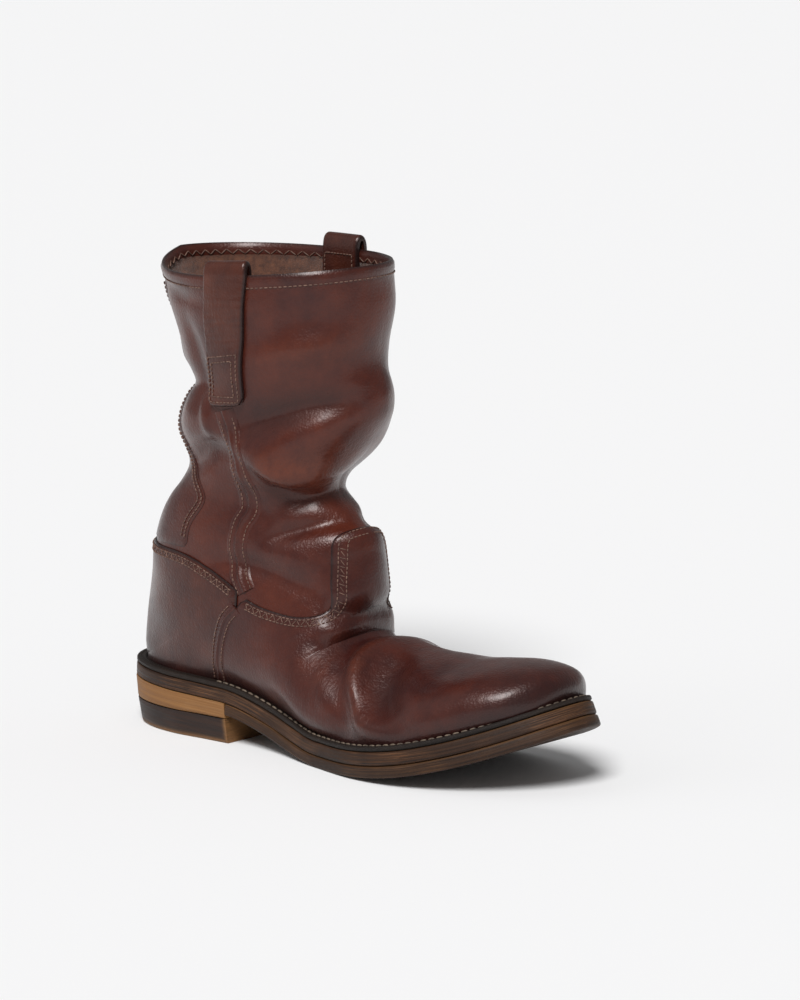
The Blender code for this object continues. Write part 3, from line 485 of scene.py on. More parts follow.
def make_piece(name, points, faces, finish, values=None, slot=None, face_finish=None, uv=None):
    """Mesh object at the origin that rides on the boot. Faces are turned outwards by the sign
    of the volume, the sum of the triangles' triple products."""
    points = np.asarray(points, float)
    faces = np.asarray(faces)
    whole = (faces[:, 0] != faces[:, 1]) & (faces[:, 1] != faces[:, 2])
    whole &= faces[:, 2] != faces[:, 0]
    faces = faces[whole]
    if np.linalg.det(points[faces[:, :3]]).sum() < 0:
        faces = faces[:, ::-1]
    mesh = bpy.data.meshes.new(name)
    mesh.from_pydata(points.tolist(), [], faces.tolist())
    for key, value in (values or {}).items():
        layer = mesh.attributes.new(key, "FLOAT", "POINT")
        layer.data.foreach_set("value", np.asarray(value, np.float32).ravel())
    if uv is not None:
        corners = np.empty(len(mesh.loops), np.int32)
        mesh.loops.foreach_get("vertex_index", corners)
        layer = mesh.uv_layers.new(name="along")
        layer.data.foreach_set("uv", np.asarray(uv, np.float32)[corners].ravel())
    for material in finish if isinstance(finish, (list, tuple)) else [finish]:
        mesh.materials.append(material)
    if face_finish is not None:
        mesh.polygons.foreach_set("material_index", np.asarray(face_finish, np.int32)[whole])
    work = bmesh.new()
    work.from_mesh(mesh)
    bmesh.ops.remove_doubles(work, verts=work.verts, dist=2e-6)
    bmesh.ops.dissolve_degenerate(work, edges=work.edges, dist=2e-6)
    work.to_mesh(mesh)
    work.free()
    mesh.shade_smooth()
    mesh.set_sharp_from_angle(angle=np.radians(50))
    piece = linked(name, mesh)
    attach(piece, "root")
    print(f"{name}: {len(mesh.vertices)} points, {len(mesh.polygons)} faces")
    return piece


# %% A wall from two skins
def wall(outer, inner, faces):
    """(points, faces, which points were used): two skins with a rim along every open edge, which
    is an edge that only one face has."""
    used, flat = np.unique(faces, return_inverse=True)
    faces = flat.reshape(faces.shape)
    edges = np.concatenate([faces[:, [k, (k + 1) % 3]] for k in range(3)])
    edges = edges[edges[:, 0] != edges[:, 1]]
    _, first, count = np.unique(np.sort(edges, 1), axis=0, return_index=True, return_counts=True)
    rim = edges[first[count == 1]]
    shift = len(used)
    rims = np.concatenate([np.column_stack([rim[:, 1], rim[:, 0], rim[:, 0] + shift]),
                           np.column_stack([rim[:, 1], rim[:, 0] + shift, rim[:, 1] + shift])])
    points = np.vstack([outer.reshape(-1, 3)[used], inner.reshape(-1, 3)[used]])
    return points, np.vstack([faces, faces[:, ::-1] + shift, rims]), used


def both_skins(values, used):
    """Each value of a grid's points, once for the outer skin and once for the inner."""
    return {key: np.tile(value.reshape(-1)[used], 2) for key, value in values.items()}


one_face = wall(np.zeros((3, 3)), np.ones((3, 3)), np.array([[0, 1, 2]]))[1]
print("a wall from one triangle has", len(one_face), "faces")

# %% [markdown]
# ## Nodes, written as sums
# A material is a sum of simple layers, so its nodes are written like one: each helper adds a
# node and returns its output. Drawing them in the editor gives the same tree, but a reader
# couldn't follow it here.


# %% Node helpers
def new_material(name):
    """Principled material and its node tree, ready to be linked."""
    made = bpy.data.materials.new(name)
    made.use_nodes = True
    tree = made.node_tree
    return made, tree, tree.nodes["Principled BSDF"]


def node(tree, kind, inputs=None, **settings):
    """Node of a kind, with its settings and socket values; a socket takes a value or a link."""
    made = tree.nodes.new(kind)
    for key, value in settings.items():
        setattr(made, key, value)
    for key, value in (inputs or {}).items():
        if isinstance(value, bpy.types.NodeSocket):
            tree.links.new(value, made.inputs[key])
        else:
            made.inputs[key].default_value = value
    return made


def noise(tree, where, scale, detail=3.0, rough=0.55, stretch=None):
    """Noise value on coordinates `where`, which may be stretched first."""
    if stretch:
        where = node(tree, "ShaderNodeMapping", {"Vector": where, "Scale": stretch}).outputs[0]
    return node(tree, "ShaderNodeTexNoise", {"Vector": where, "Scale": scale, "Detail": detail,
                                             "Roughness": rough}).outputs["Fac"]


def spread(tree, value, low, high, to_low=0.0, to_high=1.0):
    """Value mapped from low..high to to_low..to_high, and held there."""
    return node(tree, "ShaderNodeMapRange", {"Value": value, "From Min": low, "From Max": high,
                                             "To Min": to_low, "To Max": to_high}).outputs[0]


def blend(tree, share, first, second):
    """Colour between two, each a colour or a link."""
    made = node(tree, "ShaderNodeMix", data_type="RGBA")
    for socket, value in ((made.inputs[0], share), (made.inputs[6], first), (made.inputs[7], second)):
        if isinstance(value, bpy.types.NodeSocket):
            tree.links.new(value, socket)
        else:
            socket.default_value = (*value, 1) if isinstance(value, tuple) else value
    return made.outputs[2]


def sums(tree, kind, first, second):
    """Math of two values, such as MULTIPLY or ADD."""
    made = node(tree, "ShaderNodeMath", operation=kind)
    for socket, value in zip(made.inputs, (first, second)):
        if isinstance(value, bpy.types.NodeSocket):
            tree.links.new(value, socket)
        else:
            socket.default_value = value
    return made.outputs[0]


def read(tree, name):
    """A piece's attribute."""
    return node(tree, "ShaderNodeAttribute", attribute_name=name).outputs["Fac"]


# %% [markdown]
# ## Waxed leather
# Good leather is never one colour: the crests are rubbed warm and cut edges are stained dark,
# while the folds are darkened with painted shade. A painted image could hold this, but it would
# fit one mesh only. Here the colour follows each piece's own attributes, and noise on Object
# coordinates breaks it up. Grain and fine wrinkles are bump; folds are real geometry.


# %% Leather: colour
def leather_colour(tree, where, deep, warm):
    """0.65 of a broad noise and 0.35 of a middling one mix two browns. Over them lie, in turn,
    the rubbed crests, painted shade in the folds, the darkening and the dark cut edge."""
    broad = spread(tree, noise(tree, where, 22.0, 4.0, 0.6), 0.34, 0.68)
    middling = spread(tree, noise(tree, where, 95.0, 4.0, 0.65), 0.36, 0.70)
    tint = sums(tree, "ADD", sums(tree, "MULTIPLY", broad, 0.65),
                sums(tree, "MULTIPLY", middling, 0.35))
    colour = blend(tree, tint, deep, warm)
    fold = read(tree, "fold")
    rubbed = spread(tree, fold, -0.0008, -0.0060, 0.0, 0.45)
    rubbed = sums(tree, "MULTIPLY", rubbed, spread(tree, middling, 0.0, 1.0, 0.4, 1.0))
    colour = blend(tree, rubbed, colour, (0.165, 0.040, 0.016))
    # Painted shade: the deeper a fold, the darker its colour, down to a near-black brown.
    painted_fold_shade = spread(tree, fold, 0.0015, 0.0080, 0.0, 0.60)
    colour = blend(tree, painted_fold_shade, colour, (0.016, 0.005, 0.005))
    # Darker colour low over the welt, at the toe and heel, at the rim, near overlay edges and on
    # seams.
    darkening = sums(tree, "MULTIPLY", read(tree, "darkening"),
                 spread(tree, middling, 0.0, 1.0, 1.0, 0.65))
    colour = blend(tree, darkening, colour, (0.020, 0.0075, 0.0070))
    edge = spread(tree, read(tree, "edge"), 0.0003, 0.0014, 0.92, 0.0)
    return blend(tree, edge, colour, (0.012, 0.006, 0.006))


# %% Leather: grain
def leather_height(tree, where):
    """Height in metres: pores, grain and pull-up streaks, and wrinkles as deep as the leather
    flexes there, added up. Wrinkles and streaks are stretched along the boot's length."""
    pores = node(tree, "ShaderNodeTexVoronoi", {"Vector": where, "Scale": 820.0}).outputs["Distance"]
    grain = noise(tree, where, 480.0, 3.0, 0.7)
    wrinkles = noise(tree, where, 330.0, 5.0, 0.62, (1.0, 0.45, 0.32))
    streaks = noise(tree, where, 120.0, 4.0, 0.6, (1.0, 0.5, 0.3))
    flexed = spread(tree, read(tree, "flex"), 0.0, 1.0, 0.00005, 0.00090)
    height = sums(tree, "MULTIPLY", pores, 0.00014)
    for layer, depth in ((grain, 0.00020), (wrinkles, flexed), (streaks, 0.00025)):
        height = sums(tree, "ADD", height, sums(tree, "MULTIPLY", layer, depth))
    return height


# %% Leather: the four hides
def leather_material(name, deep, warm):
    """Satin leather under a thin coat of wax, its roughness mottled between 0.27 and 0.42."""
    made, tree, shader = new_material(name)
    where = node(tree, "ShaderNodeTexCoord").outputs["Object"]
    tree.links.new(leather_colour(tree, where, deep, warm), shader.inputs["Base Color"])
    bump = node(tree, "ShaderNodeBump", {"Height": leather_height(tree, where), "Distance": 1.0,
                                         "Strength": 0.9})
    tree.links.new(bump.outputs[0], shader.inputs["Normal"])
    matt = spread(tree, noise(tree, where, 60.0, 4.0, 0.6), 0.3, 0.7, 0.27, 0.42)
    tree.links.new(matt, shader.inputs["Roughness"])
    shader.inputs["Specular IOR Level"].default_value = 0.30
    shader.inputs["Specular Tint"].default_value = (1.0, 0.80, 0.76, 1)
    shader.inputs["Coat Weight"].default_value = 0.32
    shader.inputs["Coat Roughness"].default_value = 0.24
    shader.inputs["Sheen Weight"].default_value = 0.02
    shader.inputs["Sheen Roughness"].default_value = 0.4
    return made


UPPER_LEATHER = leather_material("waxed_upper_leather", (0.034, 0.0066, 0.0052),
                                 (0.092, 0.0185, 0.0088))
VAMP_LEATHER = leather_material("burnished_vamp_leather", (0.028, 0.0056, 0.0048),
                                (0.078, 0.0155, 0.0082))
COUNTER_LEATHER = leather_material("counter_leather", (0.028, 0.0058, 0.0044),
                                   (0.090, 0.0195, 0.0085))
STRAP_LEATHER = leather_material("strap_leather", (0.028, 0.0062, 0.0046),
                                 (0.086, 0.0205, 0.0100))
hides = (UPPER_LEATHER, VAMP_LEATHER, COUNTER_LEATHER, STRAP_LEATHER)
print("hides:", [hide.name for hide in hides])

# %% [markdown]
# ## Suede, thread and cut edges
# The lining is the leather's flesh side, matt and fuzzy. Thread is waxed and twisted. The sole's
# cut edges show the fibres of each layer as streaks along them, waxed dark and worn light. Wood
# grain textures look close to that, but they don't follow a curved edge; a UV map along it does.


# %% Suede and thread
def suede_material(name, dark, light):
    """Flesh side: matt, fuzzy, mottled; its nap is bump at two scales and a strong sheen."""
    made, tree, shader = new_material(name)
    where = node(tree, "ShaderNodeTexCoord").outputs["Object"]
    mottle = spread(tree, noise(tree, where, 260.0, 5.0, 0.75), 0.35, 0.68)
    tree.links.new(blend(tree, mottle, dark, light), shader.inputs["Base Color"])
    nap = sums(tree, "ADD", noise(tree, where, 900.0, 4.0, 0.8), noise(tree, where, 2600.0, 2.0, 0.8))
    bump = node(tree, "ShaderNodeBump", {"Height": nap, "Distance": 0.00045, "Strength": 0.9})
    tree.links.new(bump.outputs[0], shader.inputs["Normal"])
    shader.inputs["Roughness"].default_value = 0.95
    shader.inputs["Sheen Weight"].default_value = 0.35
    shader.inputs["Sheen Roughness"].default_value = 0.55
    return made


def thread_material(name, dark, light):
    """Waxed thread: two tones by noise and a fine twist in the bump."""
    made, tree, shader = new_material(name)
    where = node(tree, "ShaderNodeTexCoord").outputs["Object"]
    tone = spread(tree, noise(tree, where, 420.0, 2.0), 0.35, 0.65)
    tree.links.new(blend(tree, tone, dark, light), shader.inputs["Base Color"])
    twist = noise(tree, where, 3200.0, 1.0)
    bump = node(tree, "ShaderNodeBump", {"Height": twist, "Distance": 0.0001, "Strength": 0.6})
    tree.links.new(bump.outputs[0], shader.inputs["Normal"])
    shader.inputs["Roughness"].default_value = 0.62
    return made


# %% Cut edges of the sole
def edge_material(name, dark, light, streak, rough=(0.34, 0.62), scale=1.0):
    """Cut edge of sole leather: streaks that run along it, from noise on the piece's own UV, where
    U is the way along the edge and V the height; worn light patches, dark wax in between."""
    made, tree, shader = new_material(name)
    along = node(tree, "ShaderNodeUVMap", uv_map="along").outputs[0]
    where = node(tree, "ShaderNodeTexCoord").outputs["Object"]
    fibres = noise(tree, along, scale, 6.0, 0.7, (26.0, 2600.0, 1.0))
    bands = noise(tree, along, scale, 3.0, 0.5, (6.0, 900.0, 1.0))
    patches = spread(tree, noise(tree, where, 26.0, 3.0), 0.42, 0.66)
    colour = blend(tree, spread(tree, bands, 0.36, 0.66), dark, light)
    worn = sums(tree, "MULTIPLY", patches, spread(tree, fibres, 0.48, 0.68))
    colour = blend(tree, worn, colour, streak)
    rubbed = sums(tree, "MULTIPLY", read(tree, "worn"), spread(tree, fibres, 0.35, 0.55, 0.45, 1.0))
    colour = blend(tree, rubbed, colour, (0.260, 0.125, 0.045))
    tree.links.new(colour, shader.inputs["Base Color"])
    bump = node(tree, "ShaderNodeBump", {"Height": fibres, "Distance": 0.0004, "Strength": 0.8})
    tree.links.new(bump.outputs[0], shader.inputs["Normal"])
    tree.links.new(spread(tree, bands, 0.3, 0.7, *rough), shader.inputs["Roughness"])
    shader.inputs["Specular IOR Level"].default_value = 0.22
    return made


SUEDE = suede_material("lining_suede", (0.060, 0.018, 0.008), (0.175, 0.062, 0.028))
THREAD = thread_material("tan_thread", (0.080, 0.036, 0.025), (0.180, 0.098, 0.070))
WELT_THREAD = thread_material("welt_thread", (0.060, 0.042, 0.030), (0.190, 0.140, 0.100))
INSOLE_FACE = suede_material("insole_leather", (0.12, 0.065, 0.035), (0.24, 0.145, 0.085))
OUTSOLE_EDGE = edge_material("outsole_edge", (0.015, 0.0072, 0.0044), (0.045, 0.0205, 0.0105),
                             (0.170, 0.080, 0.034))
MIDSOLE_EDGE = edge_material("midsole_edge", (0.014, 0.0068, 0.0042), (0.043, 0.0190, 0.0095),
                             (0.250, 0.112, 0.048))
WELT_EDGE = edge_material("welt_edge", (0.0075, 0.0055, 0.0048), (0.020, 0.013, 0.010),
                          (0.040, 0.023, 0.014))
WEDGE_EDGE = edge_material("stacked_wedge", (0.200, 0.090, 0.030), (0.300, 0.145, 0.052),
                           (0.340, 0.180, 0.075), (0.45, 0.70), 0.6)
BLOCK_EDGE = edge_material("heel_block_edge", (0.012, 0.0085, 0.0080), (0.034, 0.019, 0.015),
                           (0.075, 0.036, 0.022))
print(len(bpy.data.materials), "materials, with the packed model's own")

# %% [markdown]
# ## The shaft and the foot: one hollow skin
# The main leather is a wall between two skins of the same grid. Its rim is turned over, so the
# last row rises and closes in. Only a coarse mesh is needed under the vamp and the counter.

# %% Upper: its grid
ROUND = 212
TOE_ROWS = 13.0
HIDDEN_STEP = 0.0060
FOOT_STEP = 0.0030
SHAFT_STEP = 0.00165
hidden_rows = rows_between(0.0, TOE_ROWS, HIDDEN_STEP)[:-1]
foot_rows = rows_between(TOE_ROWS, float(HEEL_ROW), FOOT_STEP)[:-1]
shaft_rows = rows_between(float(HEEL_ROW), TOP_ROW, SHAFT_STEP)
upper_rows = np.r_[hidden_rows, foot_rows, shaft_rows]
row, around = np.meshgrid(upper_rows, np.linspace(-1, 1, ROUND + 1), indexing="ij")
index = np.arange(row.size).reshape(row.shape)
index[upper_rows >= HEEL_ROW, -1] = index[upper_rows >= HEEL_ROW, 0]
upper_faces = triangles(index)
print("the upper's grid is", row.shape[0], "rows of", row.shape[1], "points")

# %% Upper: rim, facing and both skins
RIM_FOLD = 0.0055
RIM_THICKER = 0.0005
RIM_ROUND = 0.0009
RIM_RISE = 0.0006
FACING = 0.0068
FACING_THICK = 0.0007
FACING_EDGE = 0.0008
EDGE_START = 0.0004
rim_line = smooth_form(TOP_ROW + 0 * around[0], around[0])
below_rim = np.linalg.norm(smooth_form(row, around) - rim_line, axis=-1)
turned = np.clip(1 - below_rim / RIM_FOLD, 0, 1)
thicker = RIM_THICKER * np.sqrt(np.clip(4 * turned, 0, 1))
at_edge = (row >= TOP_ROW - 1e-6) * 1.0
outer_skin, depth = leather(row, around, thicker - RIM_ROUND * at_edge)
facing = np.clip((FACING - below_rim) / FACING_EDGE, 0, 1)
inner_skin, _ = leather(row, around, -WALL - FACING_THICK * facing + 2 * FACING_THICK * at_edge)
for skin in (outer_skin, inner_skin):
    skin[..., 2] += RIM_RISE * at_edge
points, faces, used = wall(outer_skin, inner_skin, upper_faces)
no_band = below_rim.ravel()[upper_faces].max(1) > FACING
is_lining = np.r_[0 * no_band, no_band, np.zeros(len(faces) - 2 * len(upper_faces))]
print(int(is_lining.sum()), "of", len(faces), "faces are suede")


# %% Upper: where it bends and where it is darkened
def flex_at(points):
    """Where the leather bends in wear: a bell round the toe break, one round the ankle's front,
    and low all over the slouched shaft."""
    bells = ((0.575, 0.075, 0.115, 1.0), (0.50, 0.20, 0.085, 0.9), (0.44, 0.37, 0.12, 0.45),
             (0.36, 0.52, 0.12, 0.35))
    flex = np.zeros(points.shape[:-1])
    for x, z, wide, strength in bells:
        centre = side_places([(x, z)])[0]
        away = (points[..., 0] - centre[0]) ** 2 + (points[..., 2] - centre[1]) ** 2
        flex = np.maximum(flex, strength * np.exp(-away / (wide * SOLE_LENGTH) ** 2))
    return flex


def darkening_at(points):
    """Darker close over the welt, low at the very toe, low at the back of the heel and in a band
    at the rim: bells of the distance, added up and held at 1."""
    x = points[..., 0] + HEEL_CENTRE
    rise = points[..., 2] - seat_height(x)
    hem = 0.85 * np.exp(-(((rise - 0.002) / 0.010) ** 2))
    toe = 0.45 * np.exp(-(((x - 0.97 * SOLE_LENGTH) / 0.030) ** 2)) * (rise < 0.06)
    heel = 0.40 * np.exp(-(((x - 0.02) / 0.020) ** 2)) * np.exp(-((rise / 0.045) ** 2))
    rim = 0.35 * np.exp(-(((points[..., 2] - SEAT_Z - UPPER_HEIGHT) / 0.008) ** 2))
    return np.clip(hem + toe + heel + rim, 0, 1)


values = {"fold": depth, "edge": EDGE_START + below_rim, "flex": flex_at(outer_skin),
          "darkening": darkening_at(outer_skin)}
upper = make_piece("upper_leather", points, faces, [UPPER_LEATHER, SUEDE],
                   both_skins(values, used), "upper_leather", is_lining)
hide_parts("upper")

# %% [markdown]
# ## Vamp, counter and back stay: cut along a drawn line
# A cutter lays a pattern on the hide. Here the pattern is a side-view outline, and the piece is
# the upper's own function again, a little further out. The grid is cut by moving its points
# onto the line, which keeps the edge smooth; a Boolean would leave slivers along it.

# %% Pattern lines: share of length from the heel's back, share of the upper's height
TONGUE_TOP = 0.400
TONGUE_LINE = ((0.541, 0.400), (0.521, 0.390), (0.506, 0.378), (0.500, 0.361), (0.501, 0.326),
               (0.504, 0.268), (0.507, 0.218), (0.495, 0.194))
SADDLE_LINE = ((0.455, 0.184), (0.391, 0.194), (0.353, 0.209))
COUNTER_LINE = ((0.330, 0.228), (0.297, 0.253), (0.256, 0.277), (0.193, 0.301), (0.050, 0.308))
SIDE_SEAM_LOW = ((0.329, 0.188), (0.306, 0.157), (0.292, 0.117), (0.279, 0.062), (0.265, 0.000))
SIDE_SEAM_HIGH = ((0.345, 0.228), (0.331, 0.265), (0.326, 0.324), (0.333, 0.384), (0.347, 0.421),
                  (0.344, 0.472), (0.339, 0.519), (0.328, 0.600), (0.317, 0.655))
BACK_STAY = ((0.214, 0.314), (0.224, 0.370), (0.252, 0.425), (0.242, 0.465), (0.190, 0.530),
             (0.165, 0.600), (0.175, 0.690), (0.160, 0.760), (0.135, 0.860), (0.125, 0.930))
FAR = 0.1
EDGE_ROUND = 0.0011
EDGE_THIN = 0.45


# %% A line drawn on the hide, and the distance to it
def drawn(rows, steps=8):
    """Smooth side-view line through a table's places, in metres."""
    places = side_places(rows)
    return through(places, np.linspace(0, len(places) - 1, steps * (len(places) - 1) + 1))


def outside_by(x, z, outline):
    """Signed distance to a closed outline, negative inside: the least distance to its segments,
    and inside where a ray crosses it an odd number of times."""
    away = np.full(x.shape, 9.0)
    crossed = np.zeros(x.shape, bool)
    for (ax, az), (bx, bz) in zip(outline, np.roll(outline, -1, 0)):
        long = (bx - ax) ** 2 + (bz - az) ** 2 + 1e-18
        share = np.clip(((x - ax) * (bx - ax) + (z - az) * (bz - az)) / long, 0, 1)
        away = np.minimum(away, np.hypot(x - ax - share * (bx - ax), z - az - share * (bz - az)))
        if az != bz:
            crossed ^= ((az > z) != (bz > z)) & (x < ax + (z - az) * (bx - ax) / (bz - az))
    return np.where(crossed, -away, away)


print("the stay's line is", len(drawn(BACK_STAY)), "points")


# %% Cutting a grid along the line
def cut_patch(rows, turns, outline, lift):
    """Grid of (row, turn) whose points near the outline are moved onto it, with the triangles
    inside it. Each edge that the line crosses moves its nearer end there."""
    row, turn = np.meshgrid(rows, turns, indexing="ij")
    skin, _ = leather(row, to_around(turn), lift)
    gap = outside_by(skin[..., 0], skin[..., 2], outline)
    best = np.full(row.shape, 0.5)
    moves = np.zeros((2, *row.shape))
    for down, right in ((1, 0), (-1, 0), (0, 1), (0, -1), (1, 1), (-1, -1)):
        back = (-down, -right)
        beside = np.roll(gap, back, (0, 1))
        valid = np.ones(row.shape, bool)
        if down:
            valid[-1 if down > 0 else 0] = False
        if right:
            valid[:, -1 if right > 0 else 0] = False
            valid &= np.abs(np.abs(to_around(turn)) - 1) > 1e-6
        share = gap / np.where(gap == beside, 1, gap - beside)
        better = valid & (gap * beside < 0) & (share <= best)
        best = np.where(better, share, best)
        moves[0] = np.where(better, share * (np.roll(row, back, (0, 1)) - row), moves[0])
        moves[1] = np.where(better, share * (np.roll(turn, back, (0, 1)) - turn), moves[1])
    moved = best < 0.5
    row, turn = row + moves[0], turn + moves[1]
    gap = np.where(moved, 0.0, gap)
    faces = triangles(np.arange(row.size).reshape(row.shape))
    flat = gap.ravel()[faces]
    faces = faces[(flat.max(1) <= 1e-9) & (flat.min(1) < 0)]
    return row, turn, gap, faces


# %% An overlay: a closed piece with thin edges
def overlay(name, rows, turns, outline, lifts, finish, slot, both_ends=False, undyed=0.0):
    """Closed piece of leather between two lifts, cut to the outline. Towards its edge it thins as
    0.45 + 0.55 * sqrt(distance / EDGE_ROUND). The dark line of its cut edge starts `undyed`
    further out. With `both_ends` the faces that would close over the sole are left out."""
    row, turn, gap, faces = cut_patch(rows, turns, outline, lifts[1])
    around = to_around(turn)
    thick = lifts[1] - lifts[0]
    full = EDGE_THIN + (1 - EDGE_THIN) * np.sqrt(np.clip(-gap / EDGE_ROUND, 0, 1))
    outer, depth = leather(row, around, lifts[0] + thick * full)
    inner, _ = leather(row, around, lifts[0])
    if both_ends:
        sides = around.ravel()[faces]
        jump = (sides.max(1) - sides.min(1) > 1) & (row.ravel()[faces].min(1) < HEEL_ROW)
        faces = faces[~jump]
    points, all_faces, used = wall(outer, inner, faces)
    near_edge = 0.35 * np.exp(-((gap / 0.007) ** 2))
    values = {"fold": depth, "edge": undyed - gap, "flex": flex_at(outer),
              "darkening": np.clip(darkening_at(outer) + near_edge, 0, 1)}
    return make_piece(name, points, all_faces, finish, both_skins(values, used), slot)


# %% [markdown]
# ## The three cut pieces
# The vamp covers the forefoot and sends its tongue up the front. The counter stiffens the heel.
# The back stay is a strip that wraps the shaft's back. Each outline is a drawn line closed far
# outside the boot, so one drawing serves both sides.

# %% Vamp
VAMP_STEP = 0.0019
PATCH_STEP = 0.0017
VAMP_ROWS = (0.0, 24.0)
COUNTER_ROWS = (9.0, 27.0)
STAY_ROWS = (19.0, TOP_ROW)
STAY_THICK = 0.0005
STAY_UNDYED = 0.0008
seam_low = drawn(SIDE_SEAM_LOW)
saddle = drawn(TONGUE_LINE + SADDLE_LINE + COUNTER_LINE[:1])
tongue_and_saddle = saddle[saddle[:, 0] > side_places([(0.345, 0)])[0, 0]]
past_toe = SOLE_LENGTH + FAR
tongue_top = side_places([(0, TONGUE_TOP)])[0, 1]
vamp_outline = np.vstack([[(past_toe, -FAR), (past_toe, tongue_top)], tongue_and_saddle, seam_low,
                          [(seam_low[-1, 0], -FAR)]])
vamp = overlay("vamp_leather", rows_between(*VAMP_ROWS, VAMP_STEP), np.linspace(-1, 1, 181),
               vamp_outline, (GAP, GAP + OVERLAY), VAMP_LEATHER, "overlay_leather")
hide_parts("vamp")

# %% Counter and back stay
counter_top = drawn(COUNTER_LINE)
counter_outline = np.vstack([counter_top, [(-FAR, counter_top[-1, 1]), (-FAR, -FAR)],
                             [(seam_low[-1, 0], -FAR)], seam_low[::-1]])
back_turns = np.r_[np.linspace(0.2, 1, 84), np.linspace(1, 1.8, 84)]
counter = overlay("heel_counter", rows_between(*COUNTER_ROWS, PATCH_STEP), back_turns,
                  counter_outline, (GAP, GAP + OVERLAY), COUNTER_LEATHER, "overlay_leather", True)
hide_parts("counter")
stay_edge = drawn(BACK_STAY)
stay_outline = np.vstack([stay_edge, [(-FAR, stay_edge[-1, 1]), (-FAR, stay_edge[0, 1])]])
back_stay = overlay("back_stay_leather", rows_between(*STAY_ROWS, PATCH_STEP), back_turns,
                    stay_outline, (-GAP, GAP + STAY_THICK), UPPER_LEATHER, "seam_leather", True,
                    STAY_UNDYED)
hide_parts("back_stay")

# %% [markdown]
# ## Finding a place on the leather
# Seams and stitches are drawn in the side view too. The nearest grid point gives a first guess
# for each place and Newton's method finishes it. Projecting rays onto the mesh would also work,
# but would give no row and turn to carry on from.


# %% Side view to surface
def find(places, side):
    """(row, around) whose side view is each place: nearest of a grid, then Newton steps with
    the 2 x 2 matrix of small differences."""
    rows, turns = np.meshgrid(np.linspace(9, TOP_ROW, 180), np.linspace(0.03, 0.97, 90),
                              indexing="ij")
    grid = smooth_form(rows, side * turns)[..., [0, 2]].reshape(-1, 2)
    near = np.array([((grid - place) ** 2).sum(1).argmin() for place in places])
    row, turn = rows.ravel()[near], turns.ravel()[near]
    for _ in range(6):
        here = smooth_form(row, side * turn)[:, [0, 2]]
        by_row = (smooth_form(row + 0.01, side * turn)[:, [0, 2]] - here) / 0.01
        by_turn = (smooth_form(row, side * (turn + 0.002))[:, [0, 2]] - here) / 0.002
        miss = places - here
        area = by_row[:, 0] * by_turn[:, 1] - by_row[:, 1] * by_turn[:, 0]
        area = np.where(np.abs(area) < 1e-7, 1e-7, area)
        row_step = (miss[:, 0] * by_turn[:, 1] - miss[:, 1] * by_turn[:, 0]) / area
        turn_step = (by_row[:, 0] * miss[:, 1] - by_row[:, 1] * miss[:, 0]) / area
        row = row + np.clip(row_step, -1, 1)
        turn = turn + np.clip(turn_step, -0.05, 0.05)
        row, turn = np.clip(row, 6, TOP_ROW), np.clip(turn, 0.012, 0.99)
    return row, side * turn


def beside(line, offset):
    """The line moved sideways in its plane by `offset` (to its left)."""
    along = np.gradient(line, axis=0)
    along /= np.linalg.norm(along, axis=1)[:, None]
    return line + offset * np.column_stack([-along[:, 1], along[:, 0]])


print("the lower seam starts on row", np.round(find(seam_low[:1], -1)[0], 2))

# %% [markdown]
# ## Side seams
# The shaft's two halves meet in a raised seam: the edges are folded back and a strip laid over
# them. It is a strip across which the lift follows a ridge profile. A bevelled curve would be
# quicker, but it would float over the folds; the strip is laid on the leather point by point.

# %% Seam strips: profile across, in metres
SEAM_ACROSS = 0.001 * np.array([-6.2, -5.6, -4.9, -4.1, -3.3, -2.4, -1.7, -1.1, -0.6, 0.0,
                                0.5, 0.9, 1.5, 2.4, 3.3, 4.1, 4.9, 5.6, 6.2])
SEAM_LIFT = 0.001 * np.array([-0.25, 0.05, 0.32, 0.30, 0.46, 0.50, 0.60, 0.85, 1.15, 1.32,
                              1.10, 0.55, 0.38, 0.46, 0.44, 0.28, 0.30, 0.05, -0.25])
SEAM_SINK = 0.0004
QUARTER_SEAM_WIDTH = 0.8


def seam_strip(name, line, side, across, lifts, finish, slot, above=GAP):
    """Strip of leather laid along a side-view line with a profile across it. The furrow beside
    its ridge is darkened with painted shade and the ridge counts as a crest, as bells of the distance
    across."""
    line = evenly(line, 0.0012)
    found = [find(beside(line, offset), side) for offset in across]
    row = np.stack([pair[0] for pair in found], 1)
    around = np.stack([pair[1] for pair in found], 1)
    outer, depth = leather(row, around, above + lifts + 0 * row)
    inner, _ = leather(row, around, above - SEAM_SINK + 0 * row)
    points, faces, used = wall(outer, inner, triangles(np.arange(row.size).reshape(row.shape)))
    painted_furrow_shade = np.exp(-(((across - 0.0014) / 0.0005) ** 2))
    ridge = np.exp(-((across / 0.0006) ** 2))
    handled = 0.15 * np.exp(-((across / 0.003) ** 2))
    # Painted shade in the furrow beside the ridge; the ridge itself counts as a rubbed crest.
    values = {"fold": depth - 0.0022 * ridge + 0.0045 * painted_furrow_shade, "edge": 0.01 + 0 * row,
              "flex": flex_at(outer), "darkening": darkening_at(outer) + handled}
    return make_piece(name, points, faces, finish, both_skins(values, used), slot)


seam_high = drawn(SIDE_SEAM_HIGH)
for side, word in ((-1, "outer"), (1, "inner")):
    strip = seam_strip(f"side_seam_{word}_strip", seam_high, side, SEAM_ACROSS, SEAM_LIFT,
                       UPPER_LEATHER, "seam_leather")
    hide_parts(f"side_seam_{word}")
    seam_strip(f"quarter_seam_{word}", seam_low, side, QUARTER_SEAM_WIDTH * SEAM_ACROSS, SEAM_LIFT,
               VAMP_LEATHER, None, GAP + OVERLAY)

# %% [markdown]
# ## Pull straps
# A strap is a folded band: sewn outside, up over the rim as a low loop, and sewn inside. Its
# path is a column of the upper's own grid, so it lies flat on the slouched leather. The band is
# a pillow across, thin at its cut edges, with rounded corners at its sewn ends. Cloth simulation
# could drape it too, but its box of stitches has to lie where it was sewn.

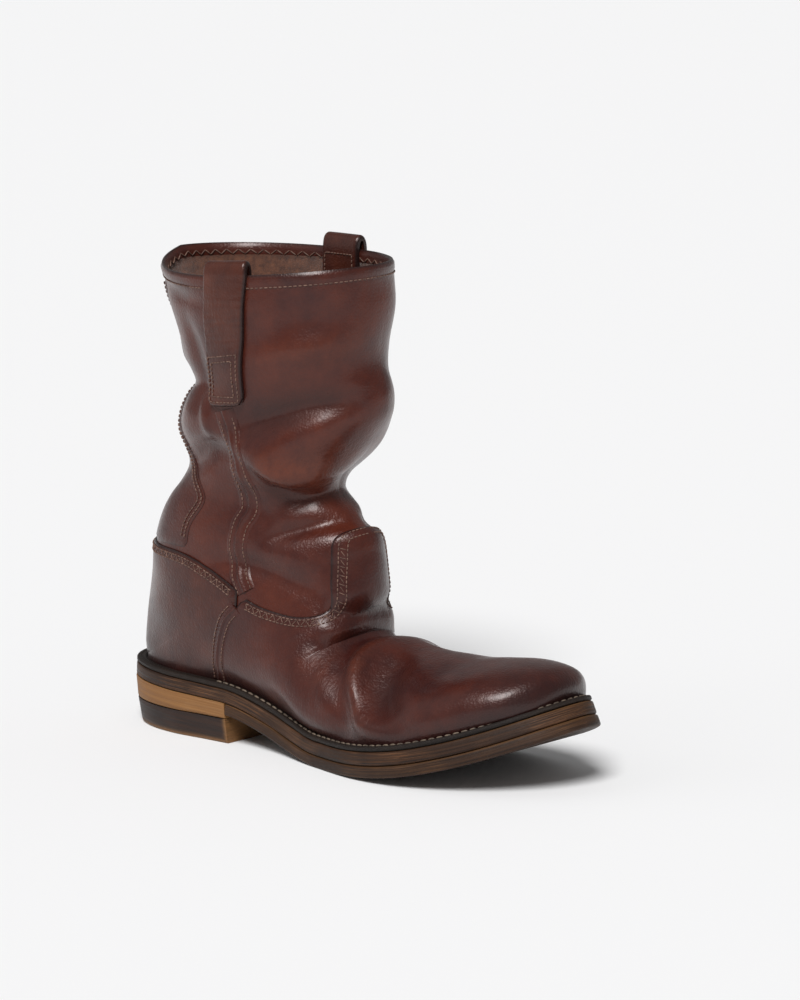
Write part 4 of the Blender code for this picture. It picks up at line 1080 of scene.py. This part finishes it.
# %% Straps: sizes
STRAP_WIDTH = 0.027
STRAP_WIDTH_LOW = 0.023
STRAP_THICKNESS = 0.0030
STRAP_DROP_OUTSIDE = 0.068
STRAP_DROP_INSIDE = 0.018
STRAP_LOOP = 0.0085
STRAP_PLACE = 0.338
STRAP_PLACE_LOW = 0.326
STRAP_GAP = 0.0007
CORNER = 0.0055
CORNER_INSIDE = 0.004
STRAP_EDGE = 0.0016
STRAP_EDGE_THIN = 0.42
BEND_PLACE = 0.045
BEND_LENGTH = 0.016
RIPPLES = 5
RIPPLE = 0.00007
SEWN_LENGTH = 0.030
SEWN_INSET = 0.0030
SEWN_DEPTH = 0.00025
ROWS_OUTSIDE = 70
ROWS_INSIDE = 20
ROWS_LOOP = 22
BAND = np.sin(np.linspace(-1, 1, 27) * np.pi / 2) * 0.5
MIDDLE = len(BAND) // 2
print("strap", 1000 * STRAP_WIDTH, "mm wide and", 1000 * STRAP_THICKNESS, "mm thick")


# %% Straps: where their columns lie
def strap_columns(row, side, high, inset):
    """`around` values across the strap at each row; the places are read off the form's X."""
    fine = np.linspace(0.05, 0.95, 181)
    x = smooth_form(*np.meshgrid(row, side * fine, indexing="ij"))[..., 0] + HEEL_CENTRE
    centre = SOLE_LENGTH * (STRAP_PLACE_LOW + (STRAP_PLACE - STRAP_PLACE_LOW) * high)
    width = STRAP_WIDTH_LOW + (STRAP_WIDTH - STRAP_WIDTH_LOW) * high - 2 * inset
    wanted = centre[:, None] - width[:, None] * BAND
    return np.stack([np.interp(-want, -line, fine) for want, line in zip(wanted, x)]) * side


def corner_inset(run, radius):
    """How far a rounded end draws its sides in, at a distance `run` from the end:
    r - sqrt(r^2 - (r - run)^2)."""
    short = np.clip(radius - run, 0, radius)
    return radius - np.sqrt(radius**2 - short**2)


# %% Straps: path of the underside
def strap_underside(side):
    """Grid of the underside: up the outside of the shaft, over the rim, down the inside. The
    loop is half an ellipse: middle + cos(swing) * arm, raised by sin(swing)."""
    rows = np.linspace(TOP_ROW - 9, TOP_ROW, 80)
    heights = smooth_form(rows, 0 * rows + side * 0.5)[:, 2]
    top = heights[-1]
    row = np.interp(np.linspace(top - STRAP_DROP_OUTSIDE, top, ROWS_OUTSIDE), heights, rows)
    inner_row = np.interp(np.linspace(top, top - STRAP_DROP_INSIDE, ROWS_INSIDE), heights, rows)
    high = np.linspace(0, 1, len(row))
    columns = strap_columns(row, side, high, corner_inset(high * STRAP_DROP_OUTSIDE, CORNER))
    outside, _ = leather(row[:, None] + 0 * columns, columns, STRAP_GAP)
    run = np.linspace(STRAP_DROP_INSIDE, 0, ROWS_INSIDE)
    columns = strap_columns(inner_row, side, 1 + 0 * run, corner_inset(run, CORNER_INSIDE))
    inside, _ = leather(inner_row[:, None] + 0 * columns, columns, -WALL - STRAP_GAP)
    swing = np.linspace(0, np.pi, ROWS_LOOP)[1:-1]
    middle = (outside[-1] + inside[0]) / 2
    arm = (outside[-1] - inside[0]) / 2
    loop = middle + np.cos(swing)[:, None, None] * arm
    loop[..., 2] += np.sin(swing)[:, None] * (STRAP_LOOP - STRAP_THICKNESS)
    return np.concatenate([outside, loop, inside[1:]])


# %% Straps: the band on that path
def strap(name, side, seed):
    """Closed strap with its grid of outer points, for the stitches. Its thickness is a pillow,
    0.42 + 0.58 * sqrt(distance to its edge / STRAP_EDGE), rippled where it bends and pressed in
    under its stitches."""
    under = strap_underside(side)
    outward = np.cross(np.gradient(under, axis=0), np.gradient(under, axis=1))
    outward /= np.linalg.norm(outward, axis=-1)[..., None]
    outward *= np.sign(outward[2, MIDDLE, 1] * side)
    steps = np.linalg.norm(np.diff(under[:, MIDDLE], axis=0), axis=1)
    along = np.r_[0, np.cumsum(steps)]
    across = (0.5 - np.abs(BAND)) * STRAP_WIDTH
    end = np.minimum(along, along[-1] - along)
    rim = np.minimum(across[None, :], end[:, None])
    pillow = STRAP_EDGE_THIN + (1 - STRAP_EDGE_THIN) * np.clip(rim / STRAP_EDGE, 0, 1) ** 0.5
    rng = np.random.default_rng(seed)
    worn = np.exp(-(((along - BEND_PLACE) / BEND_LENGTH) ** 2))[:, None]
    ripples = np.zeros(pillow.shape)
    for _ in range(RIPPLES):
        wave = rng.uniform(0.0030, 0.0060)
        phase = rng.uniform(0, 6.3)
        skew = rng.uniform(-2.0, 2.0)
        ripples += np.sin(2 * np.pi * along[:, None] / wave + phase + skew * 6 * BAND[None, :])
    seat = SEWN_DEPTH * np.exp(-(((rim - SEWN_INSET) / 0.0006) ** 2))
    seat *= (along < SEWN_LENGTH)[:, None]
    lift = STRAP_THICKNESS * pillow + RIPPLE * ripples * worn - seat
    outer = under + outward * lift[..., None]
    points, faces, used = wall(outer, under, triangles(np.arange(rim.size).reshape(rim.shape)))
    # The pressed groove under the stitches counts as a fold: painted shade there.
    values = {"fold": -0.0014 * worn + 0.0003 * ripples * worn + 6 * seat, "edge": rim,
              "flex": 0.1 + 0.7 * worn + 0 * rim}
    piece = make_piece(name, points, faces, STRAP_LEATHER, both_skins(values, used),
                       "strap_leather")
    return piece, outer, outward, along


straps = {}
for side, word in ((-1, "outer"), (1, "inner")):
    piece, *straps[side] = strap(f"pull_strap_{word}", side, 5 + side)
    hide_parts(f"strap_{word}")

# %% [markdown]
# ## Stitches
# A stitch is a short thread lying in the leather, dipping at both ends. All stitches of a row
# are one joined mesh: one small capsule, copied by array arithmetic to every place. Instances
# would be lighter, but the exported model would have to make them real again.

# %% One stitch: shares of its length, thickness there, and its faces
STATIONS = np.array([-0.5, -0.42, -0.2, 0.2, 0.42, 0.5])
GIRTH = np.array([0.25, 0.8, 1.0, 1.0, 0.8, 0.25])
ARCH = 1 - (2 * STATIONS) ** 4
RIDE = 0.6
SIDES = 8
capsule = np.arange(len(STATIONS) * SIDES).reshape(-1, SIDES)
beyond = np.roll(capsule, -1, 1)
CAPSULE_FACES = np.vstack([
    np.stack([capsule[:-1], beyond[:-1], beyond[1:], capsule[1:]], -1).reshape(-1, 4),
    [[0, 7, 6, 5], [0, 5, 4, 3], [0, 3, 2, 1]],
    [[40, 41, 42, 43], [40, 43, 44, 45], [40, 45, 46, 47]],
])
print("a stitch has", capsule.size, "points and", len(CAPSULE_FACES), "faces")


# %% Sewing: where the stitches lie
def stitch_places(paths, pitch, length):
    """Centre, forward and up of a stitch at each even step along paths of (points, normals)."""
    centres, forwards, ups = [], [], []
    for points, normals in paths:
        run = np.r_[0, np.cumsum(np.linalg.norm(np.diff(points, axis=0), axis=1))]
        count = max(int(round(run[-1] / pitch)), 1)
        at = (np.arange(count) + 0.5) * run[-1] / count
        before, after = at - length / 2, at + length / 2
        start = np.stack([np.interp(before, run, column) for column in points.T], 1)
        stop = np.stack([np.interp(after, run, column) for column in points.T], 1)
        centres.append((start + stop) / 2)
        forwards.append(stop - start)
        ups.append(np.stack([np.interp(at, run, column) for column in normals.T], 1))
    centre, forward, up = (np.vstack(part) for part in (centres, forwards, ups))
    forward /= np.maximum(np.linalg.norm(forward, axis=1), 1e-9)[:, None]
    return centre, forward, up


# %% Sewing: one mesh of many capsules
def sew(name, paths, pitch, length, thick, finish):
    """Ring point = centre + forward * station + up * arch + radius * girth * (side * cos(turn)
    + up * sin(turn)), for all stitches, stations and turns at once. The arch dips at both ends."""
    centre, forward, up = stitch_places(paths, pitch, length)
    side = np.cross(up, forward)
    side /= np.maximum(np.linalg.norm(side, axis=1), 1e-9)[:, None]
    up = np.cross(forward, side)[:, None, None]
    turns = np.linspace(0, 2 * np.pi, SIDES + 1)[:-1]
    radius = thick / 2
    ring = (side[:, None, None] * np.cos(turns)[None, None, :, None]
            + up * np.sin(turns)[None, None, :, None])
    rings = (centre[:, None, None] + forward[:, None, None] * (STATIONS * length)[None, :, None, None]
             + up * (radius * ARCH)[None, :, None, None] * RIDE
             + radius * GIRTH[None, :, None, None] * ring)
    shifts = capsule.size * np.arange(len(centre))[:, None, None]
    mesh = bpy.data.meshes.new(name)
    mesh.from_pydata(rings.reshape(-1, 3).tolist(), [],
                     (CAPSULE_FACES[None] + shifts).reshape(-1, 4).tolist())
    mesh.materials.append(finish)
    mesh.shade_smooth()
    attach(linked(name, mesh), "root")
    print(f"{name}: {len(centre)} stitches")


# %% Paths on the leather
def on_leather(row, around, lift):
    """Path on the leather: points and outward normals."""
    points, _ = leather(row, around, lift)
    normals = form_normals(row, around)
    return points, normals


def sewn_line(line, offset, side, lift):
    """Path beside a side-view line, on one side of the boot."""
    return on_leather(*find(evenly(beside(line, offset), 0.001), side), lift)


def level_line(height, turns, lift, rows=(19.0, 33.0)):
    """Path round the back at one height: each column's row read off its own heights."""
    fine = np.linspace(*rows, 300)
    heights = smooth_form(*np.meshgrid(fine, to_around(turns), indexing="ij"))[..., 2]
    row = np.array([np.interp(height, column, fine) for column in heights.T])
    return on_leather(row, to_around(turns), lift)


def zigzag(first, second, pitch):
    """One path that goes to and fro between two paths."""
    run = np.r_[0, np.cumsum(np.linalg.norm(np.diff(first[0], axis=0), axis=1))]
    count = max(int(run[-1] / pitch), 2)
    share = np.linspace(0, 1, count)
    ends = []
    for points, normals in (first, second):
        at = np.linspace(0, 1, len(points))
        ends.append([np.stack([np.interp(share, at, column) for column in array.T], 1)
                     for array in (points, normals)])
    odd = (np.arange(count) % 2 == 1)[:, None]
    return np.where(odd, ends[0][0], ends[1][0]), np.where(odd, ends[0][1], ends[1][1])


def as_threads(path):
    """Each leg of a zigzag as a path of its own."""
    points, normals = path
    return [(points[k : k + 2], normals[k : k + 2]) for k in range(len(points) - 1)]


# %% [markdown]
# ## Rows of stitches
# The vamp and the counter are each held by two rows along their edge, with a zigzag between. The
# seams and the back stay have single rows on both sides, the rim has one row outside, and its
# facing a wide zigzag inside. A real machine keeps its pitch, so all rows share one.

# %% Vamp: two rows and a zigzag
TOP = GAP + OVERLAY
PITCH = 0.0024
STITCH = 0.0019
THICK = 0.00072
EDGE_ROWS = (0.0018, 0.0050)
ZIGZAG_PITCH = 0.0026
ZIGZAG_LEG = 0.0036
ZIGZAG_THICK = 0.00050
ONE_A_LEG = 0.01


def edge_rows(line, side):
    """Two rows beside a line and the legs of the zigzag between them."""
    pair = [sewn_line(line, offset, side, TOP) for offset in EDGE_ROWS]
    return pair, as_threads(zigzag(*pair, ZIGZAG_PITCH))


def sew_edge(name, pairs_and_legs):
    """All rows as one mesh and all zigzags as another."""
    pairs, legs = ([path for group in groups for path in group] for groups in zip(*pairs_and_legs))
    sew(f"{name}_stitches", pairs, PITCH, STITCH, THICK, THREAD)
    sew(f"{name}_zigzag", legs, ONE_A_LEG, ZIGZAG_LEG, ZIGZAG_THICK, THREAD)


vamp_edge = drawn(TONGUE_LINE[1:] + SADDLE_LINE)
sew_edge("vamp", [edge_rows(vamp_edge, side) for side in (-1, 1)])

# %% Counter: the same, and round the back
_, at_end = find(counter_top[-1:], 1)
around_back = np.linspace(float(at_end[0]), 2 - float(at_end[0]), 120)
level = [level_line(counter_top[-1, 1] - down, around_back, TOP) for down in EDGE_ROWS]
counter_rows = [edge_rows(counter_top[2:], side) for side in (-1, 1)]
counter_rows.append((level, as_threads(zigzag(*level, ZIGZAG_PITCH))))
sew_edge("counter", counter_rows)

# %% Seams and back stay
seam_rows = []
for side in (-1, 1):
    for line, offsets, lift in ((seam_high[:-3], (-0.0041, 0.0041), GAP + 0.00025),
                                (seam_low[2:], (-0.0034, 0.0034), TOP + 0.0004),
                                (stay_edge[3:], (0.0018, 0.0044), GAP + 0.0006)):
        seam_rows += [sewn_line(line, offset, side, lift) for offset in offsets]
sew("seam_stitches", seam_rows, PITCH, STITCH, THICK, THREAD)

# %% Rim: one row outside, a zigzag on the facing
COLLAR_ROW = 0.0062
FACING_ROWS = (0.0032, 0.0060)
turns = np.linspace(-1, 1, 400)
fine = np.linspace(TOP_ROW - 5, TOP_ROW, 120)
curtain = smooth_form(*np.meshgrid(fine, turns, indexing="ij"))
up_length = np.linalg.norm(np.diff(curtain, axis=0), axis=-1)[::-1].cumsum(0)[::-1]


def below_rim_row(down):
    """Row, for each turn, that lies `down` along the leather below the rim."""
    return np.array([np.interp(-down, -column, fine[:-1]) for column in up_length.T])


sew("collar_stitches", [on_leather(below_rim_row(COLLAR_ROW), turns, 0.0001)], 0.0027, 0.0021,
    THICK, THREAD)
facing_rows = []
for down in FACING_ROWS:
    facing_points, facing_normals = on_leather(below_rim_row(down), turns, -WALL - FACING_THICK)
    facing_rows.append((facing_points, -facing_normals))
sew("facing_zigzag", as_threads(zigzag(*facing_rows, 0.0034)), ONE_A_LEG, 0.0042, 0.0007, THREAD)

# %% [markdown]
# ## Boxes of stitches on the straps
# Each strap is held by a box of stitches at its ends, two boxes outside and one inside. They are
# drawn on the strap's own grid, along it and across it, so they follow its bend.


# %% Box of stitches at each strap's ends
def box_path(outer, outward, along, start, stop, inset):
    """Closed path on the strap's grid, `inset` from its sides, between two runs along it."""
    edge = 0.5 - inset / STRAP_WIDTH
    corners = np.array([(start, -edge), (stop, -edge), (stop, edge), (start, edge), (start, -edge)])
    path = evenly(corners * (1, STRAP_WIDTH), 0.001) / (1, STRAP_WIDTH)
    at_row = np.interp(path[:, 0], along, np.arange(len(along)))
    at_column = np.interp(path[:, 1], BAND, np.arange(len(BAND)))
    low, left = np.floor(at_row).astype(int), np.floor(at_column).astype(int)
    low, left = np.minimum(low, len(along) - 2), np.minimum(left, len(BAND) - 2)
    u, v = (at_row - low)[:, None], (at_column - left)[:, None]
    sampled = []
    for grid in (outer, outward):
        near = grid[low, left] * (1 - v) + grid[low, left + 1] * v
        far = grid[low + 1, left] * (1 - v) + grid[low + 1, left + 1] * v
        sampled.append(near * (1 - u) + far * u)
    return tuple(sampled)


boxes = []
for grid in straps.values():
    end = grid[-1][-1]
    for start, stop, inset in ((0.0025, 0.0275, 0.0024), (0.0055, 0.0245, 0.0054),
                               (end - 0.0155, end - 0.0025, 0.0028)):
        boxes.append(box_path(*grid, start, stop, inset))
sew("strap_stitches", boxes, PITCH, STITCH, THICK, THREAD)

# %% [markdown]
# ## Sole, welt and heel
# Each layer is a loft of one closed outline at several levels, which are offset inwards at the
# corners so that the edge is eased as a maker's iron leaves it. U along the edge and V up it
# carry the streaks of the cut leather. An extruded curve with a bevel would do for a flat sole,
# but not for one that arches and springs.


# %% Wear on the edges
def worn_edges(points, height, is_heel):
    """Bells of the distance: to the top edge on a sole layer, to the floor and to the front
    corner on a heel piece."""
    if not is_heel:
        return 0.40 * np.exp(-(((height - height.max()) / 0.0009) ** 2))
    floor_edge = np.exp(-((points[..., 2] / 0.0016) ** 2))
    to_breast = points[..., 0] + HEEL_CENTRE - HEEL_LENGTH
    return np.maximum(floor_edge, 0.9 * np.exp(-((to_breast / 0.0018) ** 2)))


# %% Layers
def layer(name, levels, place, finish, node_name, slot, back=None, front=None):
    """Loft through levels of (inset, lift share). At each level the outer and inner sides are
    read off the outline at stations that crowd towards the round ends, by (1 - cos) / 2."""
    share = (1 - np.cos(np.linspace(0, np.pi, 260))) / 2
    if front is not None:
        share = np.unique(np.r_[share, 1 - 0.0006 / HEEL_LENGTH * np.arange(8)])
    skins, marks = [], []
    for inset, lift in levels:
        outline = sole_outline(inset)
        start = outline[:, 0].min() if back is None else back
        stop = outline[:, 0].max() if front is None else front
        x = start + (stop - start) * share
        outer, inner = sole_edges(x, inset)
        rims = np.stack([place(x, outer, lift), place(x, inner, lift)], 1) - (HEEL_CENTRE, 0, 0)
        run = np.linalg.norm(np.diff(rims, axis=0, prepend=rims[:1]), axis=-1).cumsum(0)
        rise = rims[..., 2] - tread(rims[..., 0] + HEEL_CENTRE)
        skins.append(rims)
        marks.append(np.stack([run * (-1, 1), rise], -1))
    points = np.stack(skins)
    marks = np.stack(marks)
    index = np.arange(points[..., 0].size).reshape(points.shape[:3])
    faces = []
    for side in (0, 1):
        strip = index[:, :, side]
        faces.append(np.stack([strip[:-1, :-1], strip[:-1, 1:], strip[1:, 1:], strip[1:, :-1]], -1))
    faces[1] = faces[1][..., ::-1]
    for end, flip in ((0, 1), (-1, -1)):
        cap = index[end]
        faces.append(np.stack([cap[:-1, 0], cap[:-1, 1], cap[1:, 1], cap[1:, 0]], -1)[..., ::flip])
        breast = index[:, end]
        upright = [breast[:-1, 0], breast[1:, 0], breast[1:, 1], breast[:-1, 1]]
        faces.append(np.stack(upright, -1)[..., ::flip])
    faces = np.concatenate([part.reshape(-1, 4) for part in faces])
    values = {"worn": worn_edges(points, marks[..., 1], front is not None)}
    piece = make_piece(name, points.reshape(-1, 3), faces, finish, values, slot, None,
                       marks.reshape(-1, 2))
    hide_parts(node_name)


def eased(corner, low, high):
    """Levels of an edge with both corners eased by a quarter circle of five steps."""
    swing = np.linspace(0, np.pi / 2, 5)
    down = [(corner * (1 - np.sin(s)), low + corner * (1 - np.cos(s))) for s in swing]
    up = [(corner * (1 - np.sin(s)), high - corner * (1 - np.cos(s))) for s in swing[::-1]]
    return down + up


# %% Outsole, midsole and insole
SOLE_CORNER = 0.0012
INSOLE_ROOM = 0.0018
layer("outsole_leather", eased(SOLE_CORNER, 0.0, OUTSOLE), sole_point, OUTSOLE_EDGE, "outsole",
      "sole_leather", back=HEEL_LENGTH + GAP)
layer("midsole_leather", eased(SOLE_CORNER, OUTSOLE + GAP, SEAT - GAP), sole_point, MIDSOLE_EDGE,
      "midsole", "sole_leather")
insole_inset = FEATHER_INSET + WALL + INSOLE_ROOM
layer("insole_leather", [(insole_inset, SEAT), (insole_inset, SEAT + INSOLE)], sole_point,
      INSOLE_FACE, "insole", "insole_leather")


# %% Heel: a light wedge on a dark block
def heel_place(low_share, high_share, low, high):
    """Place function of a heel piece: it tapers towards the floor by the share left at a level."""
    inner_most = sole_edges(np.linspace(0, HEEL_LENGTH, 40), 0.0)[1].max()

    def place(x, y, level):
        squeeze = HEEL_TAPER * (low_share + (high_share - low_share) * level)
        bottom, top = low(x), high(x)
        return np.stack([x + squeeze * (1 - x / HEEL_LENGTH), y * (1 - squeeze / inner_most),
                         bottom + (top - bottom) * level], -1)

    return place


heel_levels = [(0.0009, 0.0), (0.0003, 0.03), (0.0, 0.08), (0.0, 0.16), (0.0, 0.24), (0.0, 0.5),
               (0.0, 0.95), (0.0002, 1.0)]
layer("heel_block_leather", heel_levels,
      heel_place(1.0, 0.3, lambda x: 0 * x, lambda x: HEEL_BLOCK_HEIGHT + 0 * x),
      BLOCK_EDGE, "heel_block", "heel_block_leather", front=HEEL_LENGTH)
layer("heel_wedge_leather", heel_levels,
      heel_place(0.3, 0.0, lambda x: HEEL_BLOCK_HEIGHT + GAP + 0 * x, lambda x: tread(x) + OUTSOLE),
      WEDGE_EDGE, "heel_wedge", "heel_wedge_leather", front=HEEL_LENGTH)

# %% [markdown]
# ## Welt
# The welt is the narrow strip that the upper is sewn to. It is one closed profile carried round
# the outline, with a groove in its top for the thick stitches. Sweeping a curve would twist at
# the toe; here each ring of the profile is the outline itself, moved inwards and up.

# %% Welt: inset and lift of its profile, in metres
WELT_PROFILE = ((0.0008, 0.0000), (0.0000, 0.0007), (0.0000, 0.0020), (0.0004, 0.0026),
                (0.0012, WELT), (0.0022, WELT), (0.0026, 0.0025), (0.0030, WELT),
                (0.0046, WELT), (0.0052, 0.0024), (0.0052, 0.0000))
WELT_POINTS = 900
WELT_ROW = 0.0024
WELT_ROW_LIFT = 0.0026
WELT_PITCH = 0.0046
WELT_STITCH = 0.0036
WELT_CORD = 0.0011
rings = np.stack([sole_outline(inset, WELT_POINTS) for inset, _ in WELT_PROFILE])
lifts = np.array([SEAT + lift for _, lift in WELT_PROFILE])
points = np.stack([sole_point(ring[:, 0], ring[:, 1], lift) for ring, lift in zip(rings, lifts)])
points = points - (HEEL_CENTRE, 0, 0)
index = np.arange(points.shape[0] * points.shape[1]).reshape(points.shape[:2])
next_along, next_ring = np.roll(index, -1, 1), np.roll(index, -1, 0)
faces = np.stack([index, next_along, np.roll(next_ring, -1, 1), next_ring], -1).reshape(-1, 4)
run = np.linalg.norm(np.diff(points[0], axis=0, append=points[0][:1]), axis=1).cumsum()
streaks = lifts[:, None] + 0.002 * np.arange(len(lifts))[:, None]
marks = np.stack([run + 0 * streaks, 0 * run + streaks], -1)
welt = make_piece("welt_rim", points.reshape(-1, 3), faces, WELT_EDGE, None, "welt_leather", None,
                  marks.reshape(-1, 2))
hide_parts("welt")

# %% Welt: its stitches, from the heel's front round the toe
ring = sole_outline(WELT_ROW, WELT_POINTS)
ring = np.roll(ring, -int(ring[:, 0].argmin()), 0)
ring = ring[ring[:, 0] > HEEL_LENGTH * 0.9]
welt_line = sole_point(ring[:, 0], ring[:, 1], SEAT + WELT_ROW_LIFT) - (HEEL_CENTRE, 0, 0)
sew("welt_stitches", [(welt_line, np.tile([0.0, 0.0, 1.0], (len(welt_line), 1)))], WELT_PITCH,
    WELT_STITCH, WELT_CORD, WELT_THREAD)

# %% [markdown]
# ## Floor, light and camera
# The boot stands on near-white paper that fades into the background. One distant lamp, made soft
# by its width, shines from above in front, and a wider, weaker one from the left. The room is
# bright where the camera sees it and dim where it lights, so that the leather keeps its dark
# folds. The camera is far away with a long lens, as in the photograph. Lamps near the boot would
# light it too, but a distant one has only a direction to choose.

# %% Floor
FLOOR_REACH = 40
FLOOR_DROP = 0.0002
floor_finish, _, shader = new_material("pale_paper")
shader.inputs["Base Color"].default_value = (0.93, 0.93, 0.935, 1)
shader.inputs["Roughness"].default_value = 0.9
shader.inputs["Specular IOR Level"].default_value = 0.1
mesh = bpy.data.meshes.new("paper_floor")
floor_corners = ((-1, -1), (1, -1), (1, 1), (-1, 1))
mesh.from_pydata([(FLOOR_REACH * x, FLOOR_REACH * y, -FLOOR_DROP) for x, y in floor_corners], [],
                 [(0, 1, 2, 3)])
mesh.materials.append(floor_finish)
linked("paper_floor", mesh)
print("floor laid", 1000 * FLOOR_DROP, "mm under the heel")

# %% Light
ROOM_LIGHT = 0.23
ROOM_SEEN = 0.93
world = bpy.data.worlds.new("soft_room")
world.use_nodes = True
seen = node(world.node_tree, "ShaderNodeLightPath").outputs["Is Camera Ray"]
room_light = spread(world.node_tree, seen, 0.0, 1.0, ROOM_LIGHT, ROOM_SEEN)
backdrop = world.node_tree.nodes["Background"]
world.node_tree.links.new(room_light, backdrop.inputs["Strength"])
backdrop.inputs["Color"].default_value = (1.0, 1.0, 1.0, 1)
bpy.context.scene.world = world
bpy.context.scene.view_settings.view_transform = "Standard"


def soft_light(name, towards, wide, strength):
    """Distant lamp in a direction; the angle it fills in the sky, in degrees, softens it."""
    lamp = bpy.data.lights.new(name, "SUN")
    lamp.angle = np.radians(wide)
    lamp.energy = strength
    linked(name, lamp).rotation_euler = Vector(towards).to_track_quat("Z", "Y").to_euler()
    print(f"{name}: {wide} degrees wide, {strength} strong")


soft_light("key_light", (0.30, -0.57, 0.77), 24, 3.05)
soft_light("left_light", (-0.80, -0.75, 0.55), 60, 0.22)

# %% Camera
lens = bpy.data.cameras.new("camera")
lens.lens = 164.6
lens.sensor_width = 36.0
lens.sensor_fit = "AUTO"
lens.clip_start = 0.05
camera = linked("camera", lens)
camera.location = (1.66727, -1.80251, 0.55049)
aim = Vector((0.13701, 0.0, 0.1391)) - camera.location
camera.rotation_euler = aim.to_track_quat("-Z", "Y").to_euler()
bpy.context.scene.camera = camera
print("camera", round(aim.length, 2), "m from the boot's middle, lens", round(lens.lens, 1), "mm")

# %% [markdown]
# ## End
# The dressed boot may not outgrow the imported model.

# %% End
print("scene built")
